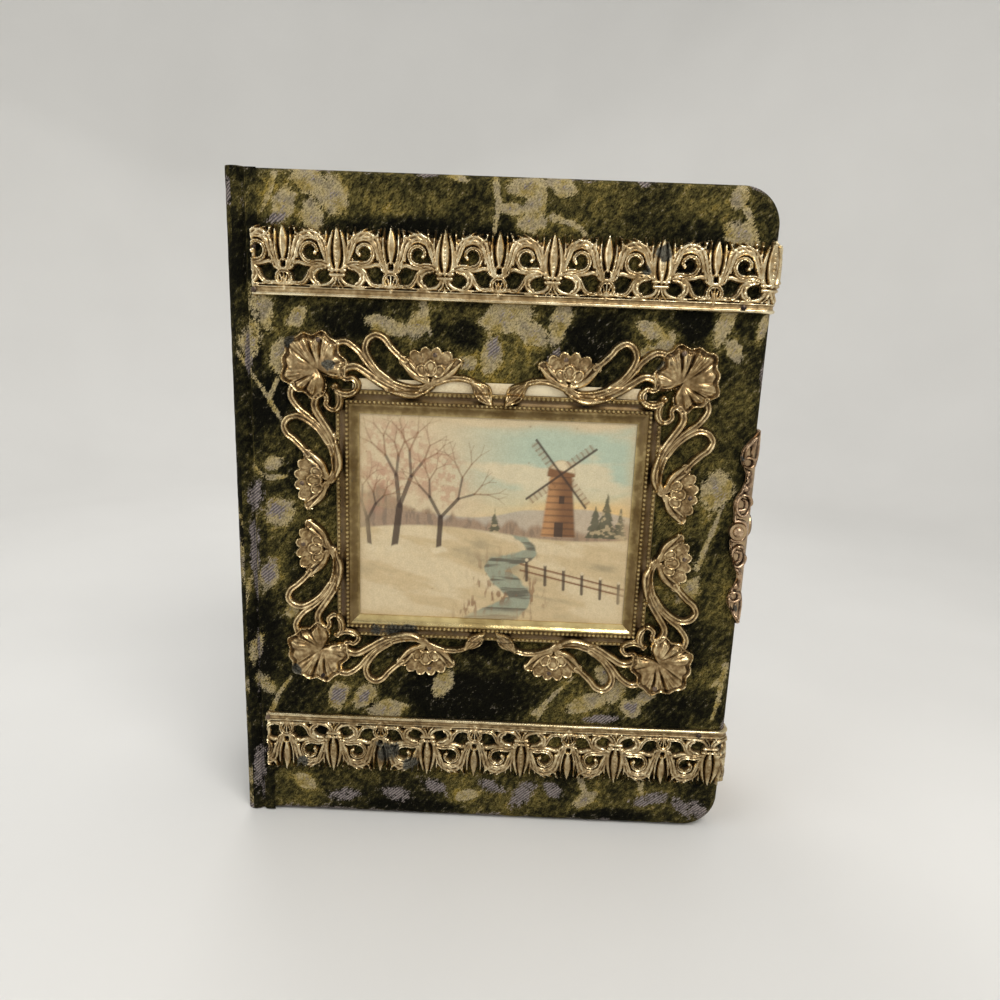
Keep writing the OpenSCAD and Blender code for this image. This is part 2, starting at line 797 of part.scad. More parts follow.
// The space of the frame and its backing, which the corners lap over.
module frame_space() {
    translate([-frame_w / 2 - lay_gap, -frame_h / 2 - lay_gap, -1])
        cube([frame_w + 2 * lay_gap, frame_h + 2 * lay_gap, over_frame_t + 1]);
    translate([-backing_w / 2 - lay_gap, -frame_h / 2, -1])
        cube([backing_w + 2 * lay_gap, frame_h + backing_rise + lay_gap, backing_t + 1 + lay_gap]);
}

// One corner, drawn for the head at the spine side: sx and sz turn it to the others.
module lily(sx, sz) {
    color(brass) seat() on_frame() difference() {
        turn_corner(sx, sz) lily_relief();
        frame_space();
        turn_corner(sx, sz) nail_holes(lily_nail_points, 2 * lily_cap);
    }
}

module turn_corner(sx, sz) {
    mirror([sx > 0 ? 1 : 0, 0, 0]) mirror([0, sz < 0 ? 1 : 0, 0])
        translate([-pad_x, pad_z, 0]) children();
}

module lily_head_left() { lily(-1, 1); }
module lily_head_right() { lily(1, 1); }
module lily_tail_left() { lily(-1, -1); }
module lily_tail_right() { lily(1, -1); }

module lily_nails() {
    color("dimgray") seat() on_frame() for (sx = [-1, 1], sz = [-1, 1]) turn_corner(sx, sz)
        for (k = [0 : len(lily_nail_points) - 1]) nail(lily_nail_points[k], lily_nail_seats[k]);
}

// Clasp

// Outline of a clasp plate.
module plate_outline() {
    run = smooth([for (p = plate_steps) [plate_x1 - p[1] * plate_part, p[0] * plate_half]], 3);
    polygon(concat(run, [[plate_x1 + 1, -plate_half], [plate_x1 + 1, plate_half]]));
}

// Bent sheet that follows the face, the rounded edge and the side of a cover.
module plate_bend() {
    side = cover_t - edge_r - lay_gap;
    translate([fore_x - edge_r, plate_half, cover_t - edge_r]) rotate([90, 0, 0])
            linear_extrude(2 * plate_half) {
        translate([-cover_t, plate_r0]) square([cover_t, plate_t]);
        intersection() {
            difference() {
                circle(plate_r1);
                circle(plate_r0);
            }
            square(2 * plate_r1);
        }
        translate([plate_r0, -side]) square([plate_t, side]);
    }
}

module plate() {
    intersection() {
        plate_bend();
        translate([0, 0, -1]) linear_extrude(3 * cover_t) plate_outline();
    }
}

module nailed_plate() {
    difference() {
        plate();
        translate([0, 0, cover_t]) nail_holes(clasp_nail_points, 2 * plate_t);
    }
}

module at_clasp() { translate([0, clasp_z, 0]) children(); }

module clasp_front_plate() {
    color(clasp_brass) seat() front() at_clasp() {
        nailed_plate();
        translate([button_x, 0, cover_t]) difference() {
            translate([0, 0, plate_gap]) cylinder(r = boss_r, h = boss_h - plate_gap);
            translate([0, 0, well_floor]) cylinder(d = button_d + 2 * button_gap, h = boss_h);
        }
    }
}

module clasp_button() {
    r = button_d / 2;
    ball = (r * r + button_dome * button_dome) / (2 * button_dome);
    color(brass) seat() on_front() at_clasp() translate([button_x, 0, button_z0]) rotate_extrude() {
        square([r, button_collar]);
        intersection() {
            translate([0, button_collar + button_dome - ball]) circle(ball);
            translate([0, button_collar]) square([r, button_dome]);
        }
    }
}

module clasp_spring() {
    color("gray") seat() on_front() at_clasp() translate([button_x, 0, well_floor]) difference() {
        cylinder(d = 0.75 * button_d, h = spring_h);
        translate([0, 0, -1]) cylinder(d = 0.45 * button_d, h = spring_h + 2);
    }
}

module clasp_nails() {
    color("dimgray") seat() on_front() at_clasp() for (p = clasp_nail_points) nail(p, plate_gap + plate_t);
}

module clasp_back_nails() {
    color("dimgray") seat() back() translate([0, 0, cover_t]) at_clasp()
        for (p = clasp_nail_points) nail(p, plate_gap + plate_t);
}

// Places children on the hinge line of the hasp.
module at_hasp() { translate([hasp_axis_x, hasp_axis_y, clasp_z]) children(); }

// One knuckle between heights z0 and z1, with a web of the given reach towards the plate.
module knuckle(z0, z1, web) {
    difference() {
        union() {
            translate([0, 0, z0]) cylinder(r = knuckle_r, h = z1 - z0);
            if (web > 0) translate([-web, -knuckle_r / 2, z0]) cube([web, knuckle_r, z1 - z0]);
        }
        translate([0, 0, z0 - 1]) cylinder(d = pin_d + 2 * pin_gap, h = z1 - z0 + 2);
    }
}

module clasp_back_plate() {
    web = hasp_axis_x - plate_x1 + plate_t / 2;
    color(clasp_brass) seat() {
        back() at_clasp() nailed_plate();
        at_hasp() for (s = [-1, 1]) {
            a = s * (hasp_knuckle / 2 + knuckle_split);
            b = s * hasp_w / 2;
            knuckle(min(a, b), max(a, b), web);
        }
    }
}

module clasp_pin() {
    color("gray") seat() at_hasp() translate([0, 0, -hasp_w / 2]) cylinder(d = pin_d, h = hasp_w);
}

// Outline of the hasp strap, hinge line at x = 0 and round tip to the right.
module hasp_outline() {
    length = hasp_axis_y - hasp_tip_y;
    tip_r = hasp_w * 0.3;
    shoulder = knuckle_r + knuckle_split;
    side = smooth([
        [shoulder, hasp_knuckle / 2], [shoulder + 3, hasp_w / 2], [length * 0.3, hasp_w * 0.42],
        [length * 0.55, hasp_w * 0.34], [length - tip_r, tip_r]
    ], 3);
    tip = [for (a = [75 : -15 : -75]) [length - tip_r, 0] + tip_r * [cos(a), sin(a)]];
    polygon(concat(
        [[0, -hasp_knuckle / 2], [0, hasp_knuckle / 2]], side, tip,
        backwards([for (p = side) [p[0], -p[1]]])));
}

module clasp_hasp() {
    color(clasp_brass) seat() at_hasp() {
        knuckle(-hasp_knuckle / 2, hasp_knuckle / 2, 0);
        difference() {
            translate([-knuckle_r + lay_gap, 0, 0]) rotate([0, 90, 0]) rotate([0, 0, -90])
                linear_extrude(hasp_t) hasp_outline();
            translate([0, 0, -hasp_w]) cylinder(d = pin_d + 2 * pin_gap, h = 2 * hasp_w);
        }
    }
}

// Drawing

spine_board();
spine_velvet();
spine_liner();
leaf_stubs();
front_board();
front_padding();
front_velvet();
front_lining();
head_band();
tail_band();
picture_frame();
picture_backing();
picture_card();
lily_head_left();
lily_head_right();
lily_tail_left();
lily_tail_right();
clasp_front_plate();
clasp_button();
clasp_spring();
band_nails();
lily_nails();
clasp_nails();
back_board();
back_padding();
back_velvet();
back_lining();
clasp_back_plate();
clasp_pin();
clasp_hasp();
clasp_back_nails();
for (i = [1 : leaf_count]) {
    name = str("leaf_", i < 10 ? "0" : "", i);
    leaf_core(i);
    leaf_mats(i);
}
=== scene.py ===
"""Dresses the photograph album: figured velvet covers, stamped brass, framed picture and gilt leaves.

Sizes are millimetres on the album: u runs along a cover from its middle, v up from the tail edge and h
outwards from the cover's face. Each piece is laid into the frame in metres.
"""
import logging
import math
from dataclasses import dataclass, replace
from enum import Enum
from typing import Callable, Iterable, Sequence

import bpy
import numpy as np
from mathutils import Matrix, Vector


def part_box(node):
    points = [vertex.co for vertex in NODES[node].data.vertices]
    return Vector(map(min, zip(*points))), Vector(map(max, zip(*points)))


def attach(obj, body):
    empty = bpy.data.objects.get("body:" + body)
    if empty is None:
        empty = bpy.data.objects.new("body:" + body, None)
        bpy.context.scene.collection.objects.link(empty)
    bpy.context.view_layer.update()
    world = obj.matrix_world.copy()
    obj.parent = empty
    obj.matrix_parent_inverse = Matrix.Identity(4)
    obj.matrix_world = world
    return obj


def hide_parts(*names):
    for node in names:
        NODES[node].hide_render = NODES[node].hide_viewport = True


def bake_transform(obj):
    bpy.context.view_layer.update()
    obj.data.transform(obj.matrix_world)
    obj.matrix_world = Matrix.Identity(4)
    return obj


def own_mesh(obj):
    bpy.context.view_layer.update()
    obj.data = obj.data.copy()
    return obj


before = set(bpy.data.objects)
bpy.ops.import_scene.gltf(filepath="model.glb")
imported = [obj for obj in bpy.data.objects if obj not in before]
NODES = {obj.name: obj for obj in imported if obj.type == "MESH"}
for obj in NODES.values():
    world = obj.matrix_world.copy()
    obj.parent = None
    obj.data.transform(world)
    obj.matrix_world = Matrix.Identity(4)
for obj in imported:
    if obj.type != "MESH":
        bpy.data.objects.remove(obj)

LOG = logging.getLogger("album")
MM = 0.001
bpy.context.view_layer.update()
Array = np.ndarray
Piece = bpy.types.Object
Material = bpy.types.Material
Node = bpy.types.Node
Socket = bpy.types.NodeSocket
Point = tuple[float, float]
Colour = tuple[float, float, float]
Spot = tuple[float, float, float]
# Scale of a wave texture whose bands lie a millimetre apart.
WAVE = math.pi / 10
# How far stamped sheet stands off the velvet.
CLEAR = 0.1


def tone(red: float, green: float, blue: float) -> Colour:
    """Linear colour of a swatch read on a 0 to 255 scale."""
    scaled = [c / 255 for c in (red, green, blue)]
    return tuple(c / 12.92 if c <= 0.04045 else ((c + 0.055) / 1.055) ** 2.4 for c in scaled)


def ease(low: float, high: float, value: Array) -> Array:
    """Smooth step of value from low to high, as 0 to 1."""
    f = np.clip((value - low) / (high - low), 0, 1)
    return f * f * (3 - 2 * f)


def lerp(a: Array, b: Sequence[float], share: Array) -> Array:
    """Colours a moved towards colour b by a share per point."""
    return a + (np.asarray(b) - a) * np.clip(share, 0, 1)[..., None]


def bell(value: Array, at: float, width: float) -> Array:
    """A smooth bump, 1 where value is at its place and falling off over a width."""
    return np.exp(-(((value - at) / width) ** 2))


def dome(share: Array) -> Array:
    """Height of a half circle at a share of its radius, 0 beyond it."""
    return np.sqrt(np.clip(1 - share**2, 0, 1))


def cloudy(u: Array, v: Array, size: float, seed: int, octaves: int = 3) -> Array:
    """Smooth cloudy values from 0 to 1.

    Args:
        u: Places along the first axis, in millimetres.
        v: Places along the second axis.
        size: Width of the largest clouds.
        seed: Which clouds.
        octaves: How many finer layers are added.

    Returns:
        One value per place.
    """
    total, weight = np.zeros(np.shape(u)), 0.0
    for k in range(octaves):
        lattice = np.random.default_rng(seed + 31 * k).random((97, 89))
        x, y = u * 2**k / size + 500, v * 2**k / size + 500
        i, j = np.floor(x).astype(int), np.floor(y).astype(int)
        fx, fy = ease(0, 1, x - i), ease(0, 1, y - j)
        near = lattice[i % 97, j % 89] * (1 - fx) + lattice[(i + 1) % 97, j % 89] * fx
        far = lattice[i % 97, (j + 1) % 89] * (1 - fx) + lattice[(i + 1) % 97, (j + 1) % 89] * fx
        total += 0.5**k * (near * (1 - fy) + far * fy)
        weight += 0.5**k
    return total / weight


def smooth_line(points: Sequence[Point], steps: int = 6) -> Array:
    """Draws a smooth run of points through the given ones.

    Args:
        points: The given points.
        steps: How many pieces each stretch between two of them has.

    Returns:
        The run, a point per row.
    """
    p = np.asarray(points, float)
    ends = np.vstack([p[:1], p, p[-1:]])
    f = (np.arange(steps) / steps)[:, None]
    runs = [
        b + f * (c - a) / 2 + f**2 * (a - 2.5 * b + 2 * c - d / 2) + f**3 * (1.5 * (b - c) + (d - a) / 2)
        for a, b, c, d in zip(ends, ends[1:], ends[2:], ends[3:])
    ]
    return np.vstack(runs + [p[-1:]])


def arc(centre: Point, radius: float, start: float, end: float, count: int = 7) -> list[Point]:
    """Points of an arc between two angles in degrees."""
    angles = np.radians(np.linspace(start, end, count))
    return [(centre[0] + radius * math.cos(a), centre[1] + radius * math.sin(a)) for a in angles]


def near_line(u: Array, v: Array, points: Sequence[Point]) -> tuple[Array, Array]:
    """Finds the nearest place on a run of points.

    Args:
        u: Places along the first axis.
        v: Places along the second axis.
        points: The run.

    Returns:
        Distance from each place to the run, and how far along the run that is, 0 to 1.
    """
    path = np.asarray(points, float)
    runs = np.diff(path, axis=0)
    lengths = np.maximum(np.hypot(*runs.T), 1e-6)
    starts = np.concatenate([[0.0], np.cumsum(lengths)])
    gap, along = np.full(np.shape(u), np.inf), np.zeros(np.shape(u))
    for (a, b), (du, dv), length, start in zip(path, runs, lengths, starts):
        t = np.clip(((u - a) * du + (v - b) * dv) / length**2, 0, 1)
        off = np.hypot(u - a - t * du, v - b - t * dv)
        nearer = off < gap
        gap = np.where(nearer, off, gap)
        along = np.where(nearer, (start + t * length) / starts[-1], along)
    return gap, along


def polar(radius: float, angle: float, centre: Point = (0.0, 0.0)) -> Point:
    """The point at a radius and an angle in degrees."""
    turn = math.radians(angle)
    return (centre[0] + radius * math.cos(turn), centre[1] + radius * math.sin(turn))


def skin(rings: int, count: int, closed: bool = True, first: int = 0) -> list[tuple[int, ...]]:
    """Joins rings of points, numbered one ring after the other, into a skin.

    Args:
        rings: How many rings there are.
        count: Points of a ring.
        closed: Whether the last point of a ring is joined to its first.
        first: Number of the first point.

    Returns:
        Corner numbers of each face.
    """
    faces = []
    for start in range(first, first + (rings - 1) * count, count):
        for k in range(count if closed else count - 1):
            a, b = start + k, start + (k + 1) % count
            faces.append((a, b, b + count, a + count))
    return faces


def walls(upper: Sequence[int], lower: Sequence[int]) -> list[list[int]]:
    """Faces between two closed rings that have as many points."""
    n = len(upper)
    return [[upper[(k + 1) % n], upper[k], lower[k], lower[(k + 1) % n]] for k in range(n)]


def border(rows: int, count: int) -> list[int]:
    """Numbers of the points round the edge of a grid that is numbered row by row."""
    number = np.arange(rows * count).reshape(rows, count)
    return np.concatenate([number[0], number[1:, -1], number[-1, -2::-1], number[-2:0:-1, 0]]).tolist()


def make_piece(name: str, points: Array, faces: Iterable, crease: float = 48.0) -> Piece:
    """A mesh object in the scene, smooth except at creases.

    Args:
        name: Name of the piece.
        points: Its corners in metres.
        faces: Corner numbers of each face.
        crease: Angle in degrees above which an edge stays sharp.

    Returns:
        The new object.
    """
    mesh = bpy.data.meshes.new(name)
    mesh.from_pydata(np.asarray(points).tolist(), [], [list(f) for f in faces])
    mesh.validate()
    mesh.shade_smooth()
    mesh.set_sharp_from_angle(angle=math.radians(crease))
    piece = bpy.data.objects.new(name, mesh)
    bpy.context.scene.collection.objects.link(piece)
    LOG.info("%s: %d faces", name, len(mesh.polygons))
    return piece


def paint(piece: Piece, name: str, values: Array) -> None:
    """Stores a number or a colour per corner of a piece.

    Args:
        piece: The piece to paint.
        name: Name under which a material reads the values.
        values: One number or one colour per corner.
    """
    values = np.asarray(values, np.float32)
    if values.ndim == 1:
        piece.data.attributes.new(name, "FLOAT", "POINT").data.foreach_set("value", values)
        return
    rgba = np.ones((len(values), 4), np.float32)
    rgba[:, :3] = values
    piece.data.attributes.new(name, "FLOAT_COLOR", "POINT").data.foreach_set("color", rgba.ravel())


def dress(piece: Piece, material: Material) -> None:
    """Gives a piece one material in place of what it had."""
    piece.data.materials.clear()
    piece.data.materials.append(material)


class Album:
    """Where the album's covers lie in the frame."""

    def __init__(self) -> None:
        """Reads the covers and the spine from the frame."""
        self.front_low, self.front_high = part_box("front_velvet")
        _, self.back_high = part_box("back_velvet")
        self.spine_low, self.spine_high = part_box("spine_velvet")
        self.middle_x = (self.spine_low.x + self.front_high.x) / 2
        self.height = (self.front_high.z - self.front_low.z) / MM
        self.thickness = (self.front_high.y - self.front_low.y) / MM
        self.fore = (self.front_high.x - self.middle_x) / MM
        self.joint = (self.front_low.x - self.middle_x) / MM

    def on_front(self, uvh: Array) -> Array:
        """Places of points laid on the outer face of the front cover."""
        u, v, h = np.asarray(uvh).T
        return np.column_stack([self.middle_x + u * MM, self.front_low.y - h * MM, v * MM])

    def on_back(self, uvh: Array) -> Array:
        """Places of points laid on the outer face of the back cover."""
        u, v, h = np.asarray(uvh).T
        return np.column_stack([self.middle_x + u * MM, self.back_high.y + h * MM, v * MM])

    def across(self, node: str) -> tuple[Point, Point]:
        """Lowest and highest u and v of a node."""
        low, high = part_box(node)
        return (
            ((low.x - self.middle_x) / MM, low.z / MM),
            ((high.x - self.middle_x) / MM, high.z / MM),
        )


class Sketch:
    """A short way to lay out the nodes of one material."""

    def __init__(self, name: str, **constants: float | Colour) -> None:
        """Starts a material and sets the shader's constant values.

        Args:
            name: Name of the material.
            constants: Shader sockets, with underscores for spaces, and their values.
        """
        self.material = bpy.data.materials.new(name)
        self.material.use_nodes = True
        self.tree = self.material.node_tree
        self.shader = self.tree.nodes["Principled BSDF"]
        for key, value in constants.items():
            socket = self.shader.inputs[key.replace("_", " ")]
            socket.default_value = (*value, 1.0) if isinstance(value, tuple) else value

    def node(self, kind: str, inputs: dict | None = None, **settings: object) -> Node:
        """Adds a node.

        Args:
            kind: Blender's name for the kind of node.
            inputs: What feeds its sockets, by their names or numbers.
            settings: Its other settings.

        Returns:
            The node.
        """
        made = self.tree.nodes.new(kind)
        for key, value in settings.items():
            setattr(made, key, value)
        for key, value in (inputs or {}).items():
            self.feed(made.inputs[key], value)
        return made

    def feed(self, socket: Socket, value: object) -> None:
        """Links an output to a socket, or sets the socket's value.

        Args:
            socket: The socket to feed.
            value: An output of another node, a colour, a vector or a number.
        """
        if isinstance(value, Socket):
            self.tree.links.new(value, socket)
        elif isinstance(value, tuple):
            socket.default_value = (*value, 1.0) if socket.type == "RGBA" else value
        else:
            socket.default_value = value

    def place(self, stretch: Sequence[float] = (1, 1, 1), turn: float = 0.0) -> Socket:
        """Reads the object's own coordinates in millimetres.

        Args:
            stretch: How far a pattern is drawn out along each axis.
            turn: Its turn about the Y axis.

        Returns:
            The coordinates.
        """
        source = self.node("ShaderNodeTexCoord").outputs["Object"]
        inputs = {"Vector": source, "Scale": tuple(s * MM for s in stretch), "Rotation": (0, turn, 0)}
        return self.node("ShaderNodeMapping", inputs, vector_type="TEXTURE").outputs["Vector"]

    def noise(self, size: float, detail: float = 3.0, at: object = None) -> Socket:
        """Cloudy values whose largest clouds are size millimetres wide."""
        inputs = {"Vector": at or self.place(), "Scale": 1 / size, "Detail": detail}
        return self.node("ShaderNodeTexNoise", inputs).outputs["Fac"]

    def attribute(self, name: str, output: str = "Fac") -> Socket:
        """A value that was painted on the mesh."""
        return self.node("ShaderNodeAttribute", attribute_name=name).outputs[output]

    def ramp(self, value: object, *stops: tuple[float, Colour]) -> Socket:
        """Gives a value colours.

        Args:
            value: The value to colour.
            stops: Values and their colours, in rising order.

        Returns:
            The colour.
        """
        made = self.node("ShaderNodeValToRGB", {"Fac": value})
        elements = made.color_ramp.elements
        while len(elements) < len(stops):
            elements.new(0.5)
        for element, (at, colour) in zip(elements, stops):
            element.position, element.color = at, (*colour, 1.0)
        return made.outputs["Color"]

    def span(self, value: object, low: float, high: float, start: float = 0, end: float = 1) -> object:
        """A value between low and high moved to between start and end."""
        inputs = {"Value": value, "From Min": low, "From Max": high, "To Min": start, "To Max": end}
        return self.node("ShaderNodeMapRange", inputs).outputs["Result"]

    def mix(self, share: object, a: object, b: object, how: str = "MIX") -> Socket:
        """Two colours mixed."""
        inputs = {0: share, 6: a, 7: b}
        return self.node("ShaderNodeMix", inputs, data_type="RGBA", blend_type=how).outputs[2]

    def sum(self, a: object, b: object, how: str = "ADD") -> Socket:
        """Two values added, or joined another way."""
        return self.node("ShaderNodeMath", {0: a, 1: b}, operation=how).outputs[0]

    def bump(self, height: object, depth: float, strength: float = 1.0) -> None:
        """Small relief of the given depth in millimetres."""
        inputs = {"Height": height, "Distance": depth * MM, "Strength": strength}
        self.finish(Normal=self.node("ShaderNodeBump", inputs).outputs["Normal"])

    def finish(self, **sockets: object) -> Material:
        """Feeds the shader.

        Args:
            sockets: Shader sockets, with underscores for spaces, and what feeds them.

        Returns:
            The finished material.
        """
        for key, value in sockets.items():
            self.feed(self.shader.inputs[key.replace("_", " ")], value)
        return self.material


@dataclass(frozen=True)
class BrassFinish:
    """Old stamped brass: bright on the ridges, brown in the hollows, spotted where it corroded."""

    name: str
    ridge: Colour
    face: Colour
    hollow: Colour
    spot: Colour = tone(104, 104, 96)
    pit: Colour = tone(40, 41, 40)
    polish: float = 0.24
    dull: float = 0.5
    mottle: float = 0.16

    def material(self) -> Material:
        """Lays out brass that reads the painted hollows and spots.

        Returns:
            The material.
        """
        s = Sketch(self.name, Metallic=1.0)
        worn = s.sum(s.attribute("ridge"), s.span(s.noise(2.4), 0.3, 0.7, -self.mottle, self.mottle))
        metal = s.ramp(worn, (0.2, self.hollow), (0.47, self.face), (0.78, self.ridge))
        cloud = s.ramp(s.noise(9.0, 4.0), (0.35, tone(182, 170, 150)), (0.65, tone(255, 255, 255)))
        metal = s.mix(0.75, metal, cloud, "MULTIPLY")
        ragged = s.sum(s.attribute("stain"), s.span(s.noise(0.9, 4.0), 0.3, 0.7, -0.25, 0.25))
        spotted = s.span(ragged, 0.3, 0.8, 0.0, 0.92)
        rough = s.span(worn, 0.2, 0.75, self.dull, self.polish)
        grain = s.noise(0.7, 5.0)
        crust = s.ramp(grain, (0.36, self.pit), (0.64, self.spot))
        s.bump(grain, 0.06)
        return s.finish(
            Base_Color=s.mix(spotted, metal, crust),
            Roughness=s.sum(rough, s.span(spotted, 0, 1, 0, 0.3)),
        )


@dataclass(frozen=True)
class SolidMetalFinish:
    """Plain metal of a small fitting, cloudy with age and brighter on worn edges."""

    name: str
    bright: Colour
    dark: Colour
    polish: float = 0.32

    def material(self) -> Material:
        """Lays out the metal.

        Returns:
            The material.
        """
        s = Sketch(self.name, Metallic=1.0)
        clouds = s.noise(3.2, 5.0)
        s.bump(s.noise(0.45, 4.0), 0.04)
        return s.finish(
            Base_Color=s.ramp(clouds, (0.34, self.dark), (0.62, self.bright)),
            Roughness=s.span(clouds, 0.3, 0.7, self.polish + 0.22, self.polish),
        )


@dataclass(frozen=True)
class VelvetFinish:
    """Cut pile, woven with a paler figure, over a twill ground that shows where the pile has worn off."""

    name: str = "figured_velvet"
    pile: float = 0.4
    rib: float = 1.05
    lean: float = 0.7
    black: Colour = tone(13, 13, 6)
    dark: Colour = tone(42, 40, 21)
    olive: Colour = tone(82, 75, 41)
    moss: Colour = tone(116, 104, 58)
    gold: Colour = tone(158, 136, 64)
    beige: Colour = tone(152, 140, 115)
    cream: Colour = tone(180, 164, 123)
    straw: Colour = tone(156, 137, 80)
    lilac: Colour = tone(91, 84, 90)
    thread: Colour = tone(152, 142, 136)

    def material(self) -> Material:
        """Lays out velvet that reads the painted depth, figure and wear.

        Returns:
            The material.
        """
        s = Sketch(self.name, Sheen_Weight=0.06, Sheen_Roughness=0.45, Specular_IOR_Level=0.08)
        s.finish(Sheen_Tint=self.gold)
        tuft = s.noise(self.pile, 2.0, s.place((1, 1, 2.2), self.lean))
        clump = s.noise(4.5 * self.pile, 3.0, s.place((1, 1, 1.8), self.lean))
        frayed = s.span(s.sum(tuft, clump), 0.7, 1.3, -0.5, 0.5)
        depth = s.sum(s.attribute("depth"), s.span(clump, 0.3, 0.7, -0.26, 0.26))
        shades = zip((0.06, 0.3, 0.52, 0.72, 0.95), (self.black, self.dark, self.olive, self.moss, self.gold))
        pile = s.ramp(depth, *shades)
        figure = s.ramp(s.noise(6.0, 3.0), (0.36, self.straw), (0.5, self.cream), (0.64, self.beige))
        drawn = s.span(s.sum(s.attribute("figure"), s.span(frayed, -0.5, 0.5, -0.36, 0.36)), 0.34, 0.66)
        pile = s.mix(drawn, pile, figure)
        shade = s.ramp(
            tuft, (0.34, tone(76, 76, 70)), (0.5, tone(206, 204, 196)), (0.62, tone(255, 255, 250))
        )
        pile = s.mix(s.span(drawn, 0, 1, 0.95, 0.66), pile, shade, "MULTIPLY")
        bands = {"Vector": s.place(turn=-self.lean), "Scale": WAVE / self.rib, "Distortion": 0.7}
        twill = s.node("ShaderNodeTexWave", bands, bands_direction="Z").outputs["Fac"]
        bare = s.mix(0.5, s.ramp(twill, (0.25, self.lilac), (0.75, self.thread)), shade, "MULTIPLY")
        worn = s.span(s.sum(s.attribute("wear"), frayed), 0.4, 0.68)
        s.bump(s.sum(tuft, clump), 0.45, 0.9)
        return s.finish(Base_Color=s.mix(worn, pile, bare), Roughness=s.span(worn, 0, 1, 0.95, 0.82))


@dataclass(frozen=True)
class PageWindows:
    """The round-headed windows of a page: its middle, the windows' size and how far they lie off the middle.

    Each rule round a window is a distance from its edge and half a line's width.
    """

    middle: Point
    width: float
    height: float
    off: Point = (0.0, 0.0)
    rules: Sequence[Point] = ((2.6, 0.5), (4.3, 0.22))

    def ruling(self, s: Sketch) -> Socket:
        """Works out where gold rules are printed round the windows.

        Args:
            s: The page's material.

        Returns:
            1 on a rule and 0 beside it.
        """
        x, _, z = s.node("ShaderNodeSeparateXYZ", {"Vector": s.place()}).outputs
        aside = s.sum(s.sum(x, self.middle[0], "SUBTRACT"), 0.0, "ABSOLUTE")
        aside = s.sum(s.sum(aside, self.off[0], "SUBTRACT"), 0.0, "ABSOLUTE")
        up = s.sum(z, self.middle[1], "SUBTRACT")
        up = s.sum(up, s.sum(s.sum(up, 0.0, "SIGN"), self.off[1], "MULTIPLY"), "SUBTRACT")
        head = s.sum(s.sum(up, (self.height - self.width) / 2, "SUBTRACT"), 0.0, "MAXIMUM")
        round_out = s.sum(s.sum(s.sum(aside, 2.0, "POWER"), s.sum(head, 2.0, "POWER")), 0.5, "POWER")
        below = s.sum(-self.height / 2, up, "SUBTRACT")
        out = s.sum(s.sum(round_out, self.width / 2, "SUBTRACT"), below, "MAXIMUM")
        lines = [
            s.span(s.sum(s.sum(out, at, "SUBTRACT"), 0.0, "ABSOLUTE"), half, half + 0.15, 1, 0)
            for at, half in self.rules
        ]
        return s.sum(lines[0], lines[1], "MAXIMUM")


@dataclass(frozen=True)
class PaperFinish:
    """Card or paper, fibrous and yellowed in patches, with gilt edges or a watered glaze if asked for."""

    name: str
    light: Colour
    dark: Colour
    gilt: bool = False
    watered: float = 0.0
    sheen: float = 0.2
    windows: PageWindows | None = None
    gold: Colour = tone(200, 162, 96)

    def material(self) -> Material:
        """Lays out the paper.

        Returns:
            The material.
        """
        s = Sketch(self.name, Specular_IOR_Level=self.sheen)
        fibres = s.noise(0.7, 5.0)
        patches = s.sum(s.noise(26.0, 4.0), s.span(fibres, 0.3, 0.7, -0.08, 0.08))
        if self.watered:
            waves = {"Vector": s.place((1, 1, 4)), "Scale": WAVE / self.watered}
            waves |= {"Distortion": 14.0, "Detail": 3.0, "Detail Scale": 0.6}
            glaze = s.node("ShaderNodeTexWave", waves).outputs["Fac"]
            patches = s.sum(s.span(patches, 0, 1, 0.22, 0.5), s.span(glaze, 0, 1, -0.05, 0.3))
        paper = s.ramp(patches, (0.32, self.dark), (0.6, self.light))
        s.bump(fibres, 0.03)
        if not self.gilt:
            return s.finish(Base_Color=paper, Roughness=s.span(fibres, 0.3, 0.7, 0.78, 0.9))
        normal = s.node("ShaderNodeTexCoord").outputs["Normal"]
        out = s.node("ShaderNodeSeparateXYZ", {"Vector": normal}).outputs["Y"]
        rubbed = s.span(s.noise(2.2, 4.0, s.place((1, 1, 4))), 0.24, 0.36)
        edge = s.sum(s.span(s.sum(out, 0.0, "ABSOLUTE"), 0.5, 0.6, 1, 0), rubbed, "MULTIPLY")
        if self.windows:
            edge = s.sum(edge, s.sum(self.windows.ruling(s), rubbed, "MULTIPLY"), "MAXIMUM")
        return s.finish(
            Base_Color=s.mix(edge, paper, self.gold),
            Metallic=edge,
            Roughness=s.span(edge, 0, 1, 0.84, 0.38),
        )


@dataclass(frozen=True)
class FibreFinish:
    """Felted or woven stuff inside the covers: board, wadding and linen."""

    name: str
    light: Colour
    dark: Colour
    size: float = 1.2

    def material(self) -> Material:
        """Lays out the stuff.

        Returns:
            The material.
        """
        s = Sketch(self.name, Specular_IOR_Level=0.1)
        strands = s.noise(self.size, 6.0, s.place((1, 1, 3.3)))
        s.bump(strands, 0.12)
        return s.finish(
            Base_Color=s.ramp(strands, (0.3, self.dark), (0.7, self.light)),
            Roughness=s.span(strands, 0.3, 0.7, 0.95, 0.82),
        )


